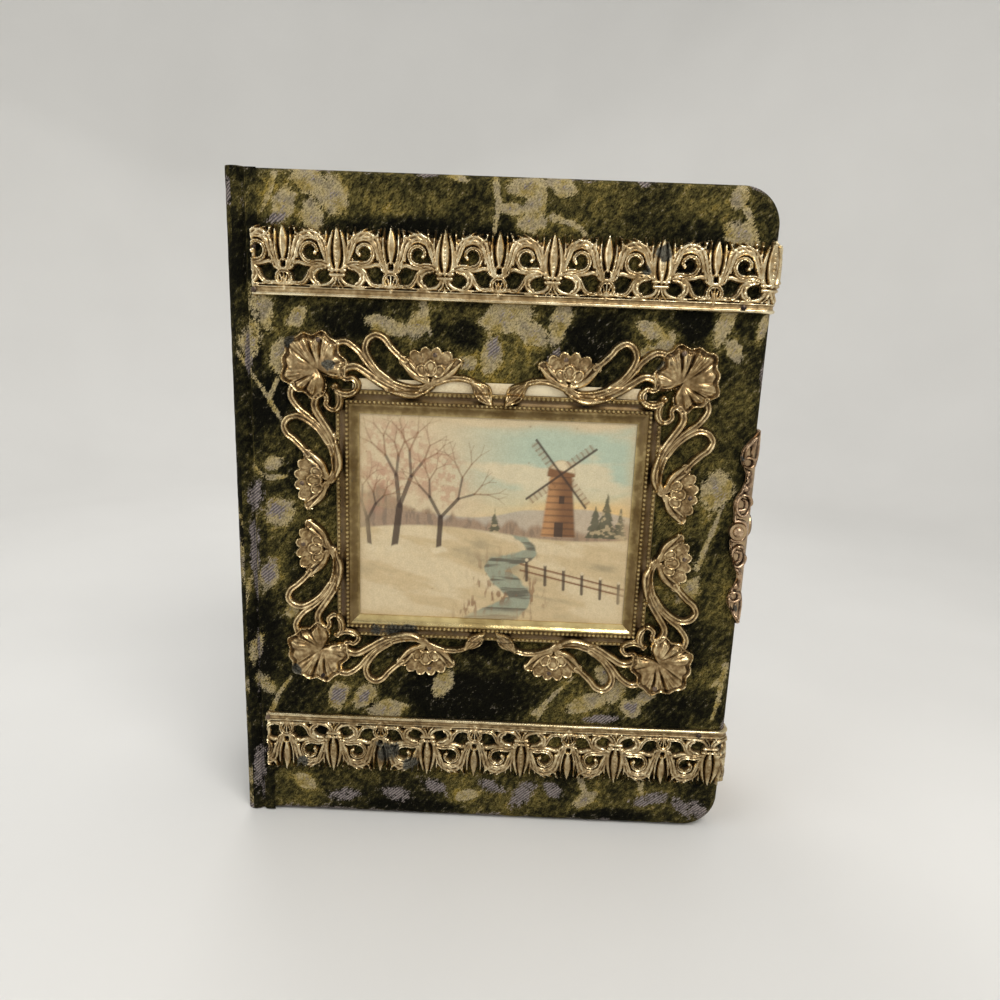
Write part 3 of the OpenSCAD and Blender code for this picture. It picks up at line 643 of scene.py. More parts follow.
@dataclass(frozen=True)
class PrintFinish:
    """The painted picture card under a thin old varnish."""

    name: str = "picture_print_finish"

    def material(self) -> Material:
        """Lays out a print that reads the painted colours.

        Returns:
            The material.
        """
        s = Sketch(self.name, Specular_IOR_Level=0.35, Coat_Weight=0.12, Coat_Roughness=0.3)
        grain = s.noise(0.55, 4.0)
        mottle = s.ramp(grain, (0.3, tone(232, 228, 220)), (0.7, tone(255, 255, 255)))
        s.bump(grain, 0.02)
        return s.finish(
            Base_Color=s.mix(0.8, s.attribute("tint", "Color"), mottle, "MULTIPLY"),
            Roughness=s.span(grain, 0.3, 0.7, 0.46, 0.6),
        )


class Finishes:
    """Every finish of the album, made once."""

    def __init__(self) -> None:
        """Makes the materials."""
        self.velvet = VelvetFinish().material()
        self.band = BrassFinish(
            "band_brass", tone(252, 238, 200), tone(194, 168, 124), tone(104, 84, 60)
        ).material()
        # Painted shade: the tail band gets a darker copy of the band brass, standing for the lower band
        # receiving less light from above.
        self.tail = BrassFinish(
            "tail_band_brass_painted_shade", tone(234, 218, 178), tone(166, 142, 104), tone(88, 71, 50)
        ).material()
        self.lily = BrassFinish(
            "lily_brass", tone(236, 214, 166), tone(156, 131, 94), tone(80, 64, 45)
        ).material()
        self.frame = BrassFinish(
            "frame_brass_finish", tone(236, 214, 154), tone(130, 110, 74), tone(96, 79, 64), mottle=0.05
        ).material()
        self.clasp = BrassFinish(
            "clasp_brass_finish", tone(204, 176, 146), tone(124, 103, 84), tone(62, 50, 43)
        ).material()
        self.button = SolidMetalFinish(
            "button_brass_finish", tone(214, 186, 152), tone(150, 124, 98), 0.2
        ).material()
        self.strap = SolidMetalFinish("strap_brass", tone(188, 162, 126), tone(152, 128, 99), 0.26).material()
        self.nail = SolidMetalFinish(
            "nail_iron_finish", tone(126, 108, 92), tone(52, 44, 42), 0.36
        ).material()
        self.steel = SolidMetalFinish("steel", tone(170, 168, 164), tone(96, 92, 88)).material()
        self.print_card = PrintFinish().material()
        self.backing = PaperFinish("backing_card_finish", tone(232, 218, 184), tone(196, 172, 130)).material()
        self.leaf = PaperFinish(
            "leaf_card_finish", tone(208, 193, 162), tone(188, 171, 137), gilt=True
        ).material()
        self.lining = PaperFinish(
            "lining_paper_finish", tone(232, 221, 192), tone(216, 203, 170), watered=5.0, sheen=0.5
        ).material()
        self.board = FibreFinish("millboard", tone(150, 126, 92), tone(112, 90, 62)).material()
        self.wadding = FibreFinish("wadding", tone(232, 224, 204), tone(198, 186, 160), 2.0).material()
        self.linen = FibreFinish("linen", tone(186, 172, 138), tone(138, 122, 88), 0.6).material()


@dataclass
class Dressing:
    """What dresses one part: where the album's covers lie, and its finishes."""

    album: Album
    finishes: Finishes


class Section(Enum):
    """How a raised line of a stamping is rounded across."""

    ROUND = "round"
    CREASED = "creased"
    FLUTED = "fluted"

    def across(self, share: Array) -> Array:
        """Shapes a line across.

        Args:
            share: Distance from the line's middle as a share of its half width.

        Returns:
            Height over the line, 0 to 1.
        """
        if self is Section.CREASED:
            return np.clip(1 - share, 0, 1) ** 0.85
        if self is Section.FLUTED:
            return np.sqrt(np.clip(1 - share**4, 0, 1)) * (0.66 + 0.34 * np.sin(np.pi * share) ** 2)
        return dome(share)


@dataclass(frozen=True)
class Stroke:
    """One raised line of a stamping: its points, half widths, height and section."""

    points: Sequence[Point]
    width: float
    tip: float
    rise: float
    section: Section = Section.ROUND
    swell: float = 0.0

    def moved(self, u: float = 0.0, v: float = 0.0, flip: bool = False) -> "Stroke":
        """The same line mirrored left to right if asked, then moved."""
        return replace(self, points=[((-a if flip else a) + u, b + v) for a, b in self.points])

    def swapped(self) -> "Stroke":
        """The same line on the other branch, mirrored over the corner's diagonal."""
        return replace(self, points=[(-b, -a) for a, b in self.points])


@dataclass(frozen=True)
class Petal:
    """An oval dome of a stamping, with a rolled rim if asked for."""

    centre: Point
    length: float
    width: float
    rise: float
    base: float = 0.0
    turn: float = 0.0
    rim: float = 0.0

    def moved(self, u: float, v: float) -> "Petal":
        """The same dome moved."""
        return replace(self, centre=(self.centre[0] + u, self.centre[1] + v))

    def swapped(self) -> "Petal":
        """The same dome on the other branch, mirrored over the corner's diagonal."""
        return replace(self, centre=(-self.centre[1], -self.centre[0]), turn=-90 - self.turn)


class Relief:
    """A thin stamped sheet worked out on a fine grid, with openings where nothing is drawn."""

    whole: tuple[slice, slice] = (slice(None), slice(None))
    margin: float = 0.22
    contrast: float = 0.75
    rim_height: float = 0.6
    rim_ridge: float = 0.62
    under_ridge: float = 0.2

    def __init__(self, low: Point, high: Point, step: float, sheet: float = 0.5) -> None:
        """Starts an empty field.

        Args:
            low: Lowest u and v of the field.
            high: Highest u and v.
            step: Width of a grid cell.
            sheet: Height of the flat sheet under the raised lines.
        """
        self.step, self.sheet = step, sheet
        across = np.arange(low[0], high[0] + step, step)
        up = np.arange(low[1], high[1] + step, step)
        self.u, self.v = np.meshgrid(across, up)
        self.low = low
        self.cover = np.full(self.u.shape, -1.0)
        self.height = np.zeros(self.u.shape)

    def window(self, low: Array, high: Array) -> tuple[slice, slice]:
        """Rows and columns of the grid between two corners."""
        cells = ((np.array([low, high]) - self.low) / self.step).astype(int) + [[0], [2]]
        return tuple(slice(*ends) for ends in np.maximum(cells, 0).T[::-1])

    def stroke(self, line: Stroke) -> None:
        """Raises one line.

        Args:
            line: The line to raise.
        """
        path = smooth_line(line.points)
        reach = max(line.width, line.tip) + line.swell + self.margin + self.step
        part = self.window(path.min(0) - reach, path.max(0) + reach)
        if not self.u[part].size:
            return
        gap, along = near_line(self.u[part], self.v[part], path)
        half = line.width + (line.tip - line.width) * along + line.swell * np.sin(np.pi * along)
        height = line.rise * line.section.across(np.clip(gap / half, 0, 1))
        self.raise_to(part, half + self.margin - gap, height)

    def raise_to(self, part: tuple[slice, slice], cover: Array, height: Array) -> None:
        """Joins a raised form into a part of the field."""
        np.maximum(self.cover[part], cover, out=self.cover[part])
        np.maximum(self.height[part], np.where(cover > 0, height, 0), out=self.height[part])

    def petal(self, oval: Petal) -> None:
        """Raises one oval dome over its base height.

        Args:
            oval: The dome to raise.
        """
        reach = max(oval.length, oval.width) + self.step
        part = self.window(np.subtract(oval.centre, reach), np.add(oval.centre, reach))
        c, s = polar(1.0, oval.turn)
        du, dv = self.u[part] - oval.centre[0], self.v[part] - oval.centre[1]
        out = np.hypot((du * c + dv * s) / oval.length, (dv * c - du * s) / oval.width)
        bow = dome(out) + oval.rim * bell(out, 0.82, 0.13)
        self.raise_to(part, (1 - out) * oval.width, np.where(out < 1, oval.base + oval.rise * bow, 0))

    def ridges(self, reach: int = 3) -> Array:
        """Measures how far each place stands above its surroundings.

        Args:
            reach: How many times the surroundings are softened.

        Returns:
            0.5 where a place is level, more on ridges and less in hollows.
        """
        soft = np.where(self.cover > 0, self.height + self.sheet, 0)
        for _ in range(reach):
            for axis in (0, 1):
                soft = (np.roll(soft, 1, axis) + soft + np.roll(soft, -1, axis)) / 3
        return np.clip(0.5 + (self.height + self.sheet - soft) * self.contrast, 0, 1)

    def cut(self) -> tuple[Array, list, list, Array]:
        """Cuts the field along its outline.

        Returns:
            Points (u, v, h), faces, rim edges as pairs of points and the ridge value per point.
        """
        inside = self.cover > 0
        inside[[0, -1]] = False
        inside[:, [0, -1]] = False
        number = np.full(inside.shape, -1)
        number[inside] = np.arange(inside.sum())
        ridge = self.ridges()
        kept = [np.column_stack([x[inside] for x in (self.u, self.v, self.height + self.sheet, ridge)])]
        before, after = slice(None, -1), slice(1, None)
        corners = ((before, before), (before, after), (after, after), (after, before))
        count = sum(inside[c].astype(int) for c in corners)
        faces = np.stack([number[c][count == 4] for c in corners], -1).tolist()
        made, cuts, rim = {}, [], []

        def crossing(a: tuple[int, int], b: tuple[int, int]) -> int:
            """Finds the point where the outline crosses a grid edge.

            Args:
                a: Row and column of one end of the edge.
                b: Row and column of the other.

            Returns:
                Number of the point.
            """
            key = (min(a, b), max(a, b))
            if key not in made:
                a, b = key
                f = np.clip(self.cover[a] / (self.cover[a] - self.cover[b]), 0.05, 0.95)
                spot = [x[a] + f * (x[b] - x[a]) for x in (self.u, self.v)]
                made[key] = len(kept[0]) + len(cuts)
                cuts.append([*spot, self.rim_height * self.sheet, self.rim_ridge])
            return made[key]

        for r, c in zip(*np.nonzero((count > 0) & (count < 4))):
            ring = [(r, c), (r, c + 1), (r + 1, c + 1), (r + 1, c)]
            face, turns = [], []
            for a, b in zip(ring, ring[1:] + ring[:1]):
                if inside[a]:
                    face.append(int(number[a]))
                if inside[a] != inside[b]:
                    face.append(crossing(a, b))
                    turns.append((inside[a], face[-1]))
            faces.append(face)
            for k, (leaving, point) in enumerate(turns):
                if leaving:
                    rim.append((point, turns[(k + 1) % len(turns)][1]))
        points = np.vstack(kept + [np.array(cuts)]) if cuts else kept[0]
        return points[:, :3], faces, rim, points[:, 3]

    def solid(
        self,
        name: str,
        place: Callable[[Array], Array],
        lift: Callable[[Array], Array] | None = None,
        flip: bool = False,
    ) -> Piece:
        """Makes the sheet as a closed mesh.

        Args:
            name: Name of the piece.
            place: Lays points (u, v, h) into the frame.
            lift: Height of the ground under each point, or None where it is flat.
            flip: Whether the laying mirrors the sheet.

        Returns:
            The piece, with its ridges painted on it.
        """
        top, faces, rim, ridge = self.cut()
        under = top.copy()
        under[:, 2] = 0.0
        if lift is not None:
            rise = lift(top)
            top[:, 2] += rise
            under[:, 2] += rise
        n = len(top)
        faces = faces + [[i + n for i in reversed(f)] for f in faces]
        faces += [[b, a, a + n, b + n] for a, b in rim]
        if flip:
            faces = [f[::-1] for f in faces]
        piece = make_piece(name, place(np.vstack([top, under])), faces)
        paint(piece, "ridge", np.concatenate([ridge, np.full(n, self.under_ridge)]))
        self.outline = np.vstack([top, under])
        return piece


def round_edge(points: Array, radius: float, turn_at: float) -> tuple[Array, Array]:
    """Bends sheet that lies on a cover round its fore-edge.

    Args:
        points: Places (u, v, h) on the flat sheet.
        radius: Inner radius of the bend.
        turn_at: u where the bend starts.

    Returns:
        u and h of each place on the bent sheet.
    """
    u, _, h = points.T
    angle = np.clip((u - turn_at) / radius, 0, math.pi / 2)
    down = np.clip(u - turn_at - radius * math.pi / 2, 0, None)
    across = np.where(u > turn_at, turn_at + (radius + h) * np.sin(angle), u)
    out = np.where(u > turn_at, (radius + h) * np.cos(angle) - radius - down, h)
    return across, out


def stain(places: Array, spots: Sequence[Spot], seed: int = 5) -> Array:
    """Ragged corrosion round a few spots.

    Args:
        places: Points whose first two columns are u and v.
        spots: u, v and radius of each spot.
        seed: Which ragged edge.

    Returns:
        How corroded each point is, 0 to 1.
    """
    u, v = places[:, 0], places[:, 1]
    rough = cloudy(u, v, 2.0, seed)
    total = 0.36 * ease(0.66, 0.8, cloudy(u, v, 7.0, seed + 1))
    for a, b, radius in spots:
        out = np.hypot(u - a, v - b) / radius
        total = np.maximum(total, ease(1.25, 0.55, out + 1.1 * (rough - 0.5)))
    return np.clip(total, 0, 1)


@dataclass
class BandRelief(Dressing):
    """A stamped openwork band: lancets and buds in turn, with scrolls between, over a moulded rail.

    The rows of bud and lancet are the strokes of a motif's right half, measured from its middle, and the
    knobs are the place, radius and height of small domes beside a bud.
    """

    name: str
    node: str
    tips_up: bool
    shift: float
    spots: Sequence[Spot] = ()
    pitch: float = 20.7
    tall: float = 27.0
    bend_r: float = 4.1
    step: float = 0.33
    pearls: int = 7
    knobs: Sequence[tuple[float, float, float, float]] = (
        (3.0, 11.7, 1.15, 2.3), (8.5, 16.3, 0.85, 1.9), (9.0, 9.1, 0.85, 1.8), (8.9, 7.2, 0.8, 1.8),
        (7.4, 5.6, 0.8, 1.8),
    )
    bud: Sequence[tuple] = (
        ([(3.0, 12.5), (4.4, 17), (5.0, 21.4)], 1.2, 1.8, 0.5),
        ([(8.0, 20.6), (11.0, 22.6), (14.6, 21.6)], 0.9, 0.9, 0.5, Section.ROUND, 0.6),
        ([(5.6, 12.2), (8.6, 11.6), (11.4, 12.4)], 0.9, 0.9, 0.5),
        ([(0, 9.6), (0, 18), (0, 26.8)], 0.5, 0.25, 2.1, Section.ROUND, 1.5),
        ([(1.9, 10), (3.2, 13.6), (3.0, 18.6), (1.5, 24.8)], 1.1, 0.4, 1.9, Section.ROUND, 0.4),
        ([(3.4, 13), (4.3, 19), (3.9, 26.2)], 0.5, 0.15, 1.7, Section.ROUND, 0.25),
        ([(3.9, 13.2), (5.6, 19), (6.8, 26.2)], 0.5, 0.15, 1.8, Section.ROUND, 0.3),
        ([(4.4, 13.6), (6.7, 19.6), (9.2, 25.2)], 0.5, 0.15, 1.8, Section.ROUND, 0.3),
        ([(-3.1, 10.3), (3.1, 10.3)], 0.75, 0.75, 2.0),
        ([(-2.6, 8.6), (2.6, 8.6)], 0.85, 0.85, 1.8),
        ([(1.1, 8.4), (1.9, 6.5), (3.6, 5.2), (6.6, 4.5), (10.3, 4.3)], 0.9, 0.6, 1.3),
        ([(0.3, 7.8), (0.8, 5.8), (2.3, 4.1)], 0.55, 0.4, 1.5),
        ([(0, 5.4), (0, 3.6)], 0.4, 0.9, 1.3, Section.CREASED),
        ([(3.4, 12.1), (6.4, 13.2), (9.8, 13.0), (12.5, 14.0), (13.7, 16.5), (12.7, 19.1),
         (10.3, 20.0), (8.3, 18.9), (7.8, 17.3), (8.5, 16.3)], 1.25, 0.85, 1.8, Section.FLUTED),
        ([(4.4, 17.6), (5.7, 20.9), (8.8, 23.2), (12.3, 23.2), (15.0, 21.0), (16.3, 17.4),
         (17.0, 13.8), (17.5, 11.2)], 1.1, 1.1, 1.9, Section.FLUTED, 0.6),
        ([(4.9, 16.4), (6.7, 20.2), (9.8, 21.8), (12.7, 21.0), (14.6, 18.2), (15.4, 14.8)],
         0.7, 0.6, 1.5),
        ([(7.0, 21.6), (9.0, 24.2), (11.5, 25.9)], 0.8, 0.15, 1.9),
        ([(9.4, 22.4), (11.8, 24.3), (14.3, 25.4)], 0.8, 0.15, 1.9),
        ([(12.6, 21.8), (15.2, 23.2), (16.7, 26.1)], 0.9, 0.15, 2.0),
        ([(4.8, 11.5), (7.5, 11.1), (9.3, 9.6), (9.7, 7.7), (8.8, 5.9), (7.4, 5.0)],
         1.2, 1.1, 1.6, Section.FLUTED, 0.5),
        ([(8.4, 11.4), (10.5, 9.5), (11.6, 7.3), (13.3, 5.4), (15.8, 4.9), (18.0, 5.4)],
         1.2, 0.9, 1.5, Section.FLUTED),
        ([(9.2, 11.8), (12.4, 12.2), (15.0, 12.9), (16.8, 12.2)], 0.9, 0.9, 1.3),
    )
    lancet: Sequence[tuple] = (
        ([(2.0, 12), (3.3, 17), (4.0, 21)], 1.2, 1.8, 0.5),
        ([(0, 13.2), (0, 20), (0, 26.8)], 0.5, 0.15, 2.1, Section.ROUND, 1.5),
        ([(1.2, 10.8), (2.5, 15.6), (3.0, 20.6), (2.7, 26.2)], 0.6, 0.15, 2.0, Section.ROUND, 0.25),
        ([(1.7, 10.9), (3.6, 15.4), (4.7, 20), (5.0, 25.6)], 0.5, 0.15, 1.9, Section.ROUND, 0.3),
        ([(2.2, 11.0), (4.6, 15.0), (6.3, 19.4), (7.2, 24.6)], 0.5, 0.15, 1.9, Section.ROUND, 0.3),
        (arc((0, 12.5), 1.3, -20, 200), 0.5, 0.5, 1.8),
        ([(-2.4, 10.3), (2.4, 10.3)], 0.8, 0.8, 1.8),
        (arc((0, 6.9), 2.7, -40, 220, 11), 0.95, 0.95, 1.9, Section.FLUTED),
        ([(0, 4.6), (0, 8.6)], 0.5, 0.4, 1.6),
        ([(0.5, 4.8), (1.3, 7.9)], 0.55, 0.45, 1.4),
        ([(0, 4.8), (2.4, 4.8), (4.4, 5.1)], 1.0, 0.8, 1.3),
        ([(0, 4.2), (0, 2.8)], 0.4, 1.1, 1.2, Section.CREASED),
    )

    def draw(self, start: float, end: float) -> Relief:
        """Draws the whole band with the rail along v = 0.

        Args:
            start: u of its first end.
            end: u of its other end.

        Returns:
            The field.
        """
        relief = Relief((start - 1.5, -1.0), (end + 1.5, self.tall + 1.5), self.step)
        count = math.ceil(end / self.pitch) + 1
        for k in range(-count, count + 1):
            middle = self.shift + k * self.pitch
            for row in self.bud if k % 2 else self.lancet:
                for flip in (False, True):
                    relief.stroke(Stroke(*row).moved(middle, 0, flip))
            if k % 2:
                for j in range(self.pearls):
                    size = 0.62 - 0.04 * j
                    relief.petal(Petal((middle, 12.4 + 1.55 * j), size, size, 0.5, 1.9))
                for side in (-1, 1):
                    for a, b, size, rise in self.knobs:
                        relief.petal(Petal((middle + side * a, b), size, size, rise))
        u, v = relief.u, relief.v
        rail = np.maximum.reduce([
            1.3 * dome((v - 0.9) / 0.85),
            0.5 * ease(1.5, 2.0, v) * ease(3.3, 2.8, v),
            dome((v - 3.4) / 0.5),
            0.7 * dome((v - 4.4) / 0.4),
        ])
        relief.raise_to(relief.whole, np.minimum(v, 4.9 - v), rail)
        for at in (start + 0.8, end - 0.9):
            relief.stroke(Stroke([(at, 0.5), (at, self.tall - 3)], 0.7, 0.7, 0.9))
        relief.cover = np.minimum(relief.cover, np.minimum(u - start, end - u))
        dents = cloudy(u, v, 17.0, 12) - 0.5
        relief.height *= 1 + 0.5 * dents
        return relief

    def build(self) -> None:
        """Makes the band, bent round the fore-edge, in place of its solid."""
        (start, low), (_, high) = self.album.across(self.node)
        turn_at = self.album.fore - self.bend_r
        relief = self.draw(start, turn_at + self.bend_r * math.pi / 2 + 3.0)
        base, sense = (low, 1.0) if self.tips_up else (high, -1.0)

        def bent(points: Array) -> Array:
            """Lays the band on the cover and round its edge."""
            u, h = round_edge(points, self.bend_r, turn_at)
            return self.album.on_front(np.column_stack([u, base + sense * points[:, 1], h + CLEAR]))

        piece = relief.solid(self.name, bent, flip=not self.tips_up)
        places = relief.outline * (1, sense, 1) + (0, base, 0)
        paint(piece, "stain", stain(places, self.spots, 5 if self.tips_up else 9))
        # The tail band takes the darker brass copy, which is painted shade.
        dress(piece, self.finishes.band if self.tips_up else self.finishes.tail)
        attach(piece, "front_cover")
        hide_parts(self.node)


@dataclass
class LilyCorner(Dressing):
    """One water-lily corner: a ruffled pad, two branches of ribbed stems and flowers, and a bud.

    Each stem has its points, its first and last half width as shares of the usual one and its height.
    """

    name: str
    node: str
    side: int
    end: int
    spots: Sequence[Spot] = ()
    pad_x: float = 73.8
    pad_z: float = 61.0
    pad_r: float = 13.4
    stem: float = 1.5
    step: float = 0.31
    scallops: int = 6
    flower_span: float = 62.0
    flower_r: float = 13.9
    flower_foot: Point = (46.5, -5.4)
    frame_edge: Point = (8.8, -9.0)
    card_edge: Point = (15.3, -4.8)
    stems: Sequence[tuple] = (
        ([(8, 8.2), (12.6, 9.3), (17.5, 6.2), (21, 1.9), (25.1, -2.3), (30.1, -5.4), (36.4, -7.6),
          (42.7, -7.8), (46.5, -5.8)], 1, 1, 1.7),
        ([(11.8, -2), (13.9, -0.5), (17.5, -0.4), (22.6, -3.5), (27.6, -6.7), (33.9, -9.3),
          (40.8, -9.9), (46.5, -6.7)], 1.15, 1.1, 1.8),
        ([(12, -1.6), (11.2, -3.7), (13.1, -5.3), (15.6, -4.9), (17.5, -7), (16.8, -9.8),
          (13.7, -11.1), (10.6, -10.5), (8.0, -8.6)], 0.9, 0.85, 1.7),
        ([(36.4, 2.6), (33.6, 4.8), (30.4, 8.0), (27.9, 11), (24.5, 12.3), (21.5, 10.3), (20.6, 6.6),
          (22.2, 2.6), (25.9, -2), (31, -5.6)], 1, 1.1, 1.8),
    )

    def pad(self, relief: Relief) -> None:
        """Raises the ruffled pad with its veins, bulging lobes and rolled rim.

        Args:
            relief: The corner's field.
        """
        u, v = relief.u, relief.v
        radius, angle = np.hypot(u, v), np.degrees(np.arctan2(v, u))
        notch = np.clip(1 - np.abs((angle + 225) % 360 - 180) / 26, 0, 1)
        ruffle = 0.055 * np.cos(np.radians(5 * (angle - 135)))
        ruffle = ruffle + 0.045 * np.cos(np.radians(11 * angle - 90))
        rim = self.pad_r * (1 + ruffle - 0.45 * notch)
        inward = np.clip(rim - radius, 0, None)
        du, dv = u - 2.4, v + 2.4
        turn, reach = np.arctan2(dv, du), np.hypot(du, dv)
        fan = turn + math.pi / 4 + 0.22 * np.sin(3 * turn + 0.8)
        folds = np.abs(np.sin(4.5 * fan)) ** 0.7
        height = 0.5 + 1.3 * ease(0, 6, inward) + 1.7 * folds * ease(1.0, 9.0, reach) * ease(0, 3.5, inward)
        height += 1.3 * bell(inward, 0.8, 0.55) - 0.5 * bell(inward, 2.1, 0.6)
        height += 0.22 * np.sin(20 * fan) * ease(5, 10, reach) * ease(0.8, 3, inward)
        height += 0.15 * np.sin(52 * fan) * ease(4, 9, reach) * ease(1.2, 3, inward)
        for a, b in ((5.8, -0.2), (0.2, -5.8)):
            height += 1.2 * ease(4.4, 0, np.hypot(u - a, v - b))
        height += 0.7 * (cloudy(u, v, 4.0, 77 + self.side) - 0.5) * ease(0, 2, inward)
        relief.raise_to(relief.whole, rim - radius, height)

    def fan(self, relief: Relief, swapped: bool) -> None:
        """Raises a flower's scalloped and stippled sheet.

        Args:
            relief: The corner's field.
            swapped: Whether it is the flower of the other branch.
        """
        u, v = (-relief.v, -relief.u) if swapped else (relief.u, relief.v)
        du, dv = u - self.flower_foot[0], v - self.flower_foot[1]
        radius, side = np.hypot(du, dv), np.degrees(np.arctan2(du, dv)) / self.flower_span
        wave = np.abs(np.sin(math.pi * self.scallops / 2 * (side + 1)))
        inward = self.flower_r - 1.6 + 1.6 * side**2 + 2.0 * wave**0.7 - radius
        within = np.minimum(inward, (1 - np.abs(side)) * radius * math.radians(self.flower_span))
        height = 0.9 + 0.6 * bell(inward, 0.6, 0.4)
        height -= 0.35 * bell(wave, 0, 0.3) * ease(8, 11, radius)
        height += 0.22 * ease(0.5, 0.7, cloudy(u, v, 0.8, 81, 1)) * ease(1.0, 1.8, inward)
        relief.raise_to(relief.whole, within, height)

    def flower(self) -> tuple[list[Stroke], list[Petal]]:
        """Draws one half-open flower, its foot at the origin and open upwards.

        Returns:
            Its raised lines and its domes.
        """
        lines, petals = [], []
        for angle, size in ((-36, 0.9), (36, 0.9), (0, 1.1)):
            petals.append(Petal(polar(5.6, 90 + angle), 3.3 * size, 2.7 * size, 0.9, 0.9, 90 + angle, 0.9))
            petals.append(Petal(polar(6.2, 90 + angle), 1.5 * size, 1.1 * size, 0.5, 1.6, 90 + angle))
        for s in (-1, 1):
            outer = [(s * 0.8, 0.4), (s * 6.8, 2.8), (s * 12.6, 8.8)]
            inner = [(s * 0.6, 1.2), (s * 5.2, 4.0), (s * 9.6, 9.2)]
            lines += [Stroke(outer, 0.9, 0.3, 1.9, swell=0.8), Stroke(inner, 0.7, 0.2, 1.8, swell=0.6)]
            lines.append(Stroke([(s * 0.5, 0.4), (s * 1.3, 2.4)], 0.5, 0.3, 1.9))
        lines.append(Stroke([(-2.8, 0.6), (0, -0.4), (2.8, 0.6)], 1.1, 1.1, 1.8))
        return lines, petals

    def bud(self) -> list[Stroke]:
        """Draws the drooping, striped bud at the end of the head branch.

        Returns:
            Its raised lines.
        """
        knot, middle, tip = (63.2, -4.3), (67.4, -8.5), (71.2, -13.2)
        stripes = [
            Stroke([knot, (middle[0] + 1.1 * k, middle[1] + 1.0 * k), tip], 0.65, 0.3, 2.45 - 0.2 * k * k)
            for k in (-2, -1, 0, 1, 2)
        ]
        return stripes + [
            Stroke([(47, -6), (53.4, -3.6), (59.1, -3.3), (63.5, -4.5)], 1.4, 1.2, 1.6, Section.FLUTED),
            Stroke([knot, middle, tip], 1.2, 0.5, 2.15, Section.ROUND, 2.0),
        ]

    def lift(self, points: Array) -> Array:
        """Feels the ground under the corner: the cover, the cream card and the frame.

        Args:
            points: Places whose first two columns are u and v.

        Returns:
            Height of the ground at each place.
        """
        u, v = points[:, 0], points[:, 1]
        within = np.minimum(u - self.frame_edge[0], self.frame_edge[1] - v)
        rise = 2.7 * ease(-1.0, 0.7, within) + 0.9 * ease(1.6, 4.0, within)
        on_card = np.minimum(u - self.card_edge[0], self.card_edge[1] - v)
        card = 0.65 * ease(-0.8, 0.4, on_card) if self.end > 0 else 0.0
        return np.maximum(rise, card) + 0.05

    def draw(self) -> Relief:
        """Draws the whole corner round the middle of its pad.

        Returns:
            The field.
        """
        relief = Relief((-17.0, -76.0), (76.0, 17.0), self.step)
        self.pad(relief)
        lines, petals = self.flower()
        self.fan(relief, False)
        self.fan(relief, True)
        w = self.stem
        branch = [Stroke(points, a * w, b * w, rise, Section.FLUTED) for points, a, b, rise in self.stems]
        for line in branch + [line.moved(*self.flower_foot) for line in lines]:
            relief.stroke(line)
            relief.stroke(line.swapped())
        for petal in petals:
            placed = petal.moved(*self.flower_foot)
            relief.petal(placed)
            relief.petal(placed.swapped())
        for line in self.bud():
            relief.stroke(line)
        return relief

    def build(self) -> None:
        """Makes the corner in place of its solid."""
        relief = self.draw()
        (low_u, low_v), (high_u, high_v) = self.album.across("picture_frame")
        centre = ((low_u + high_u) / 2, (low_v + high_v) / 2)

        def laid(points: Array) -> Array:
            """Turns the corner to its place on the cover.

            Args:
                points: Places (u, v, h) on the corner.

            Returns:
                Their places in the frame.
            """
            u = centre[0] + self.side * (self.pad_x - points[:, 0])
            v = centre[1] + self.end * (self.pad_z + points[:, 1])
            return self.album.on_front(np.column_stack([u, v, points[:, 2]]))

        piece = relief.solid(self.name, laid, self.lift, flip=(self.side > 0) == (self.end > 0))
        paint(piece, "stain", stain(relief.outline, self.spots, 21 + 4 * self.side + self.end))
        dress(piece, self.finishes.lily)
        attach(piece, "front_cover")
        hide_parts(self.node)


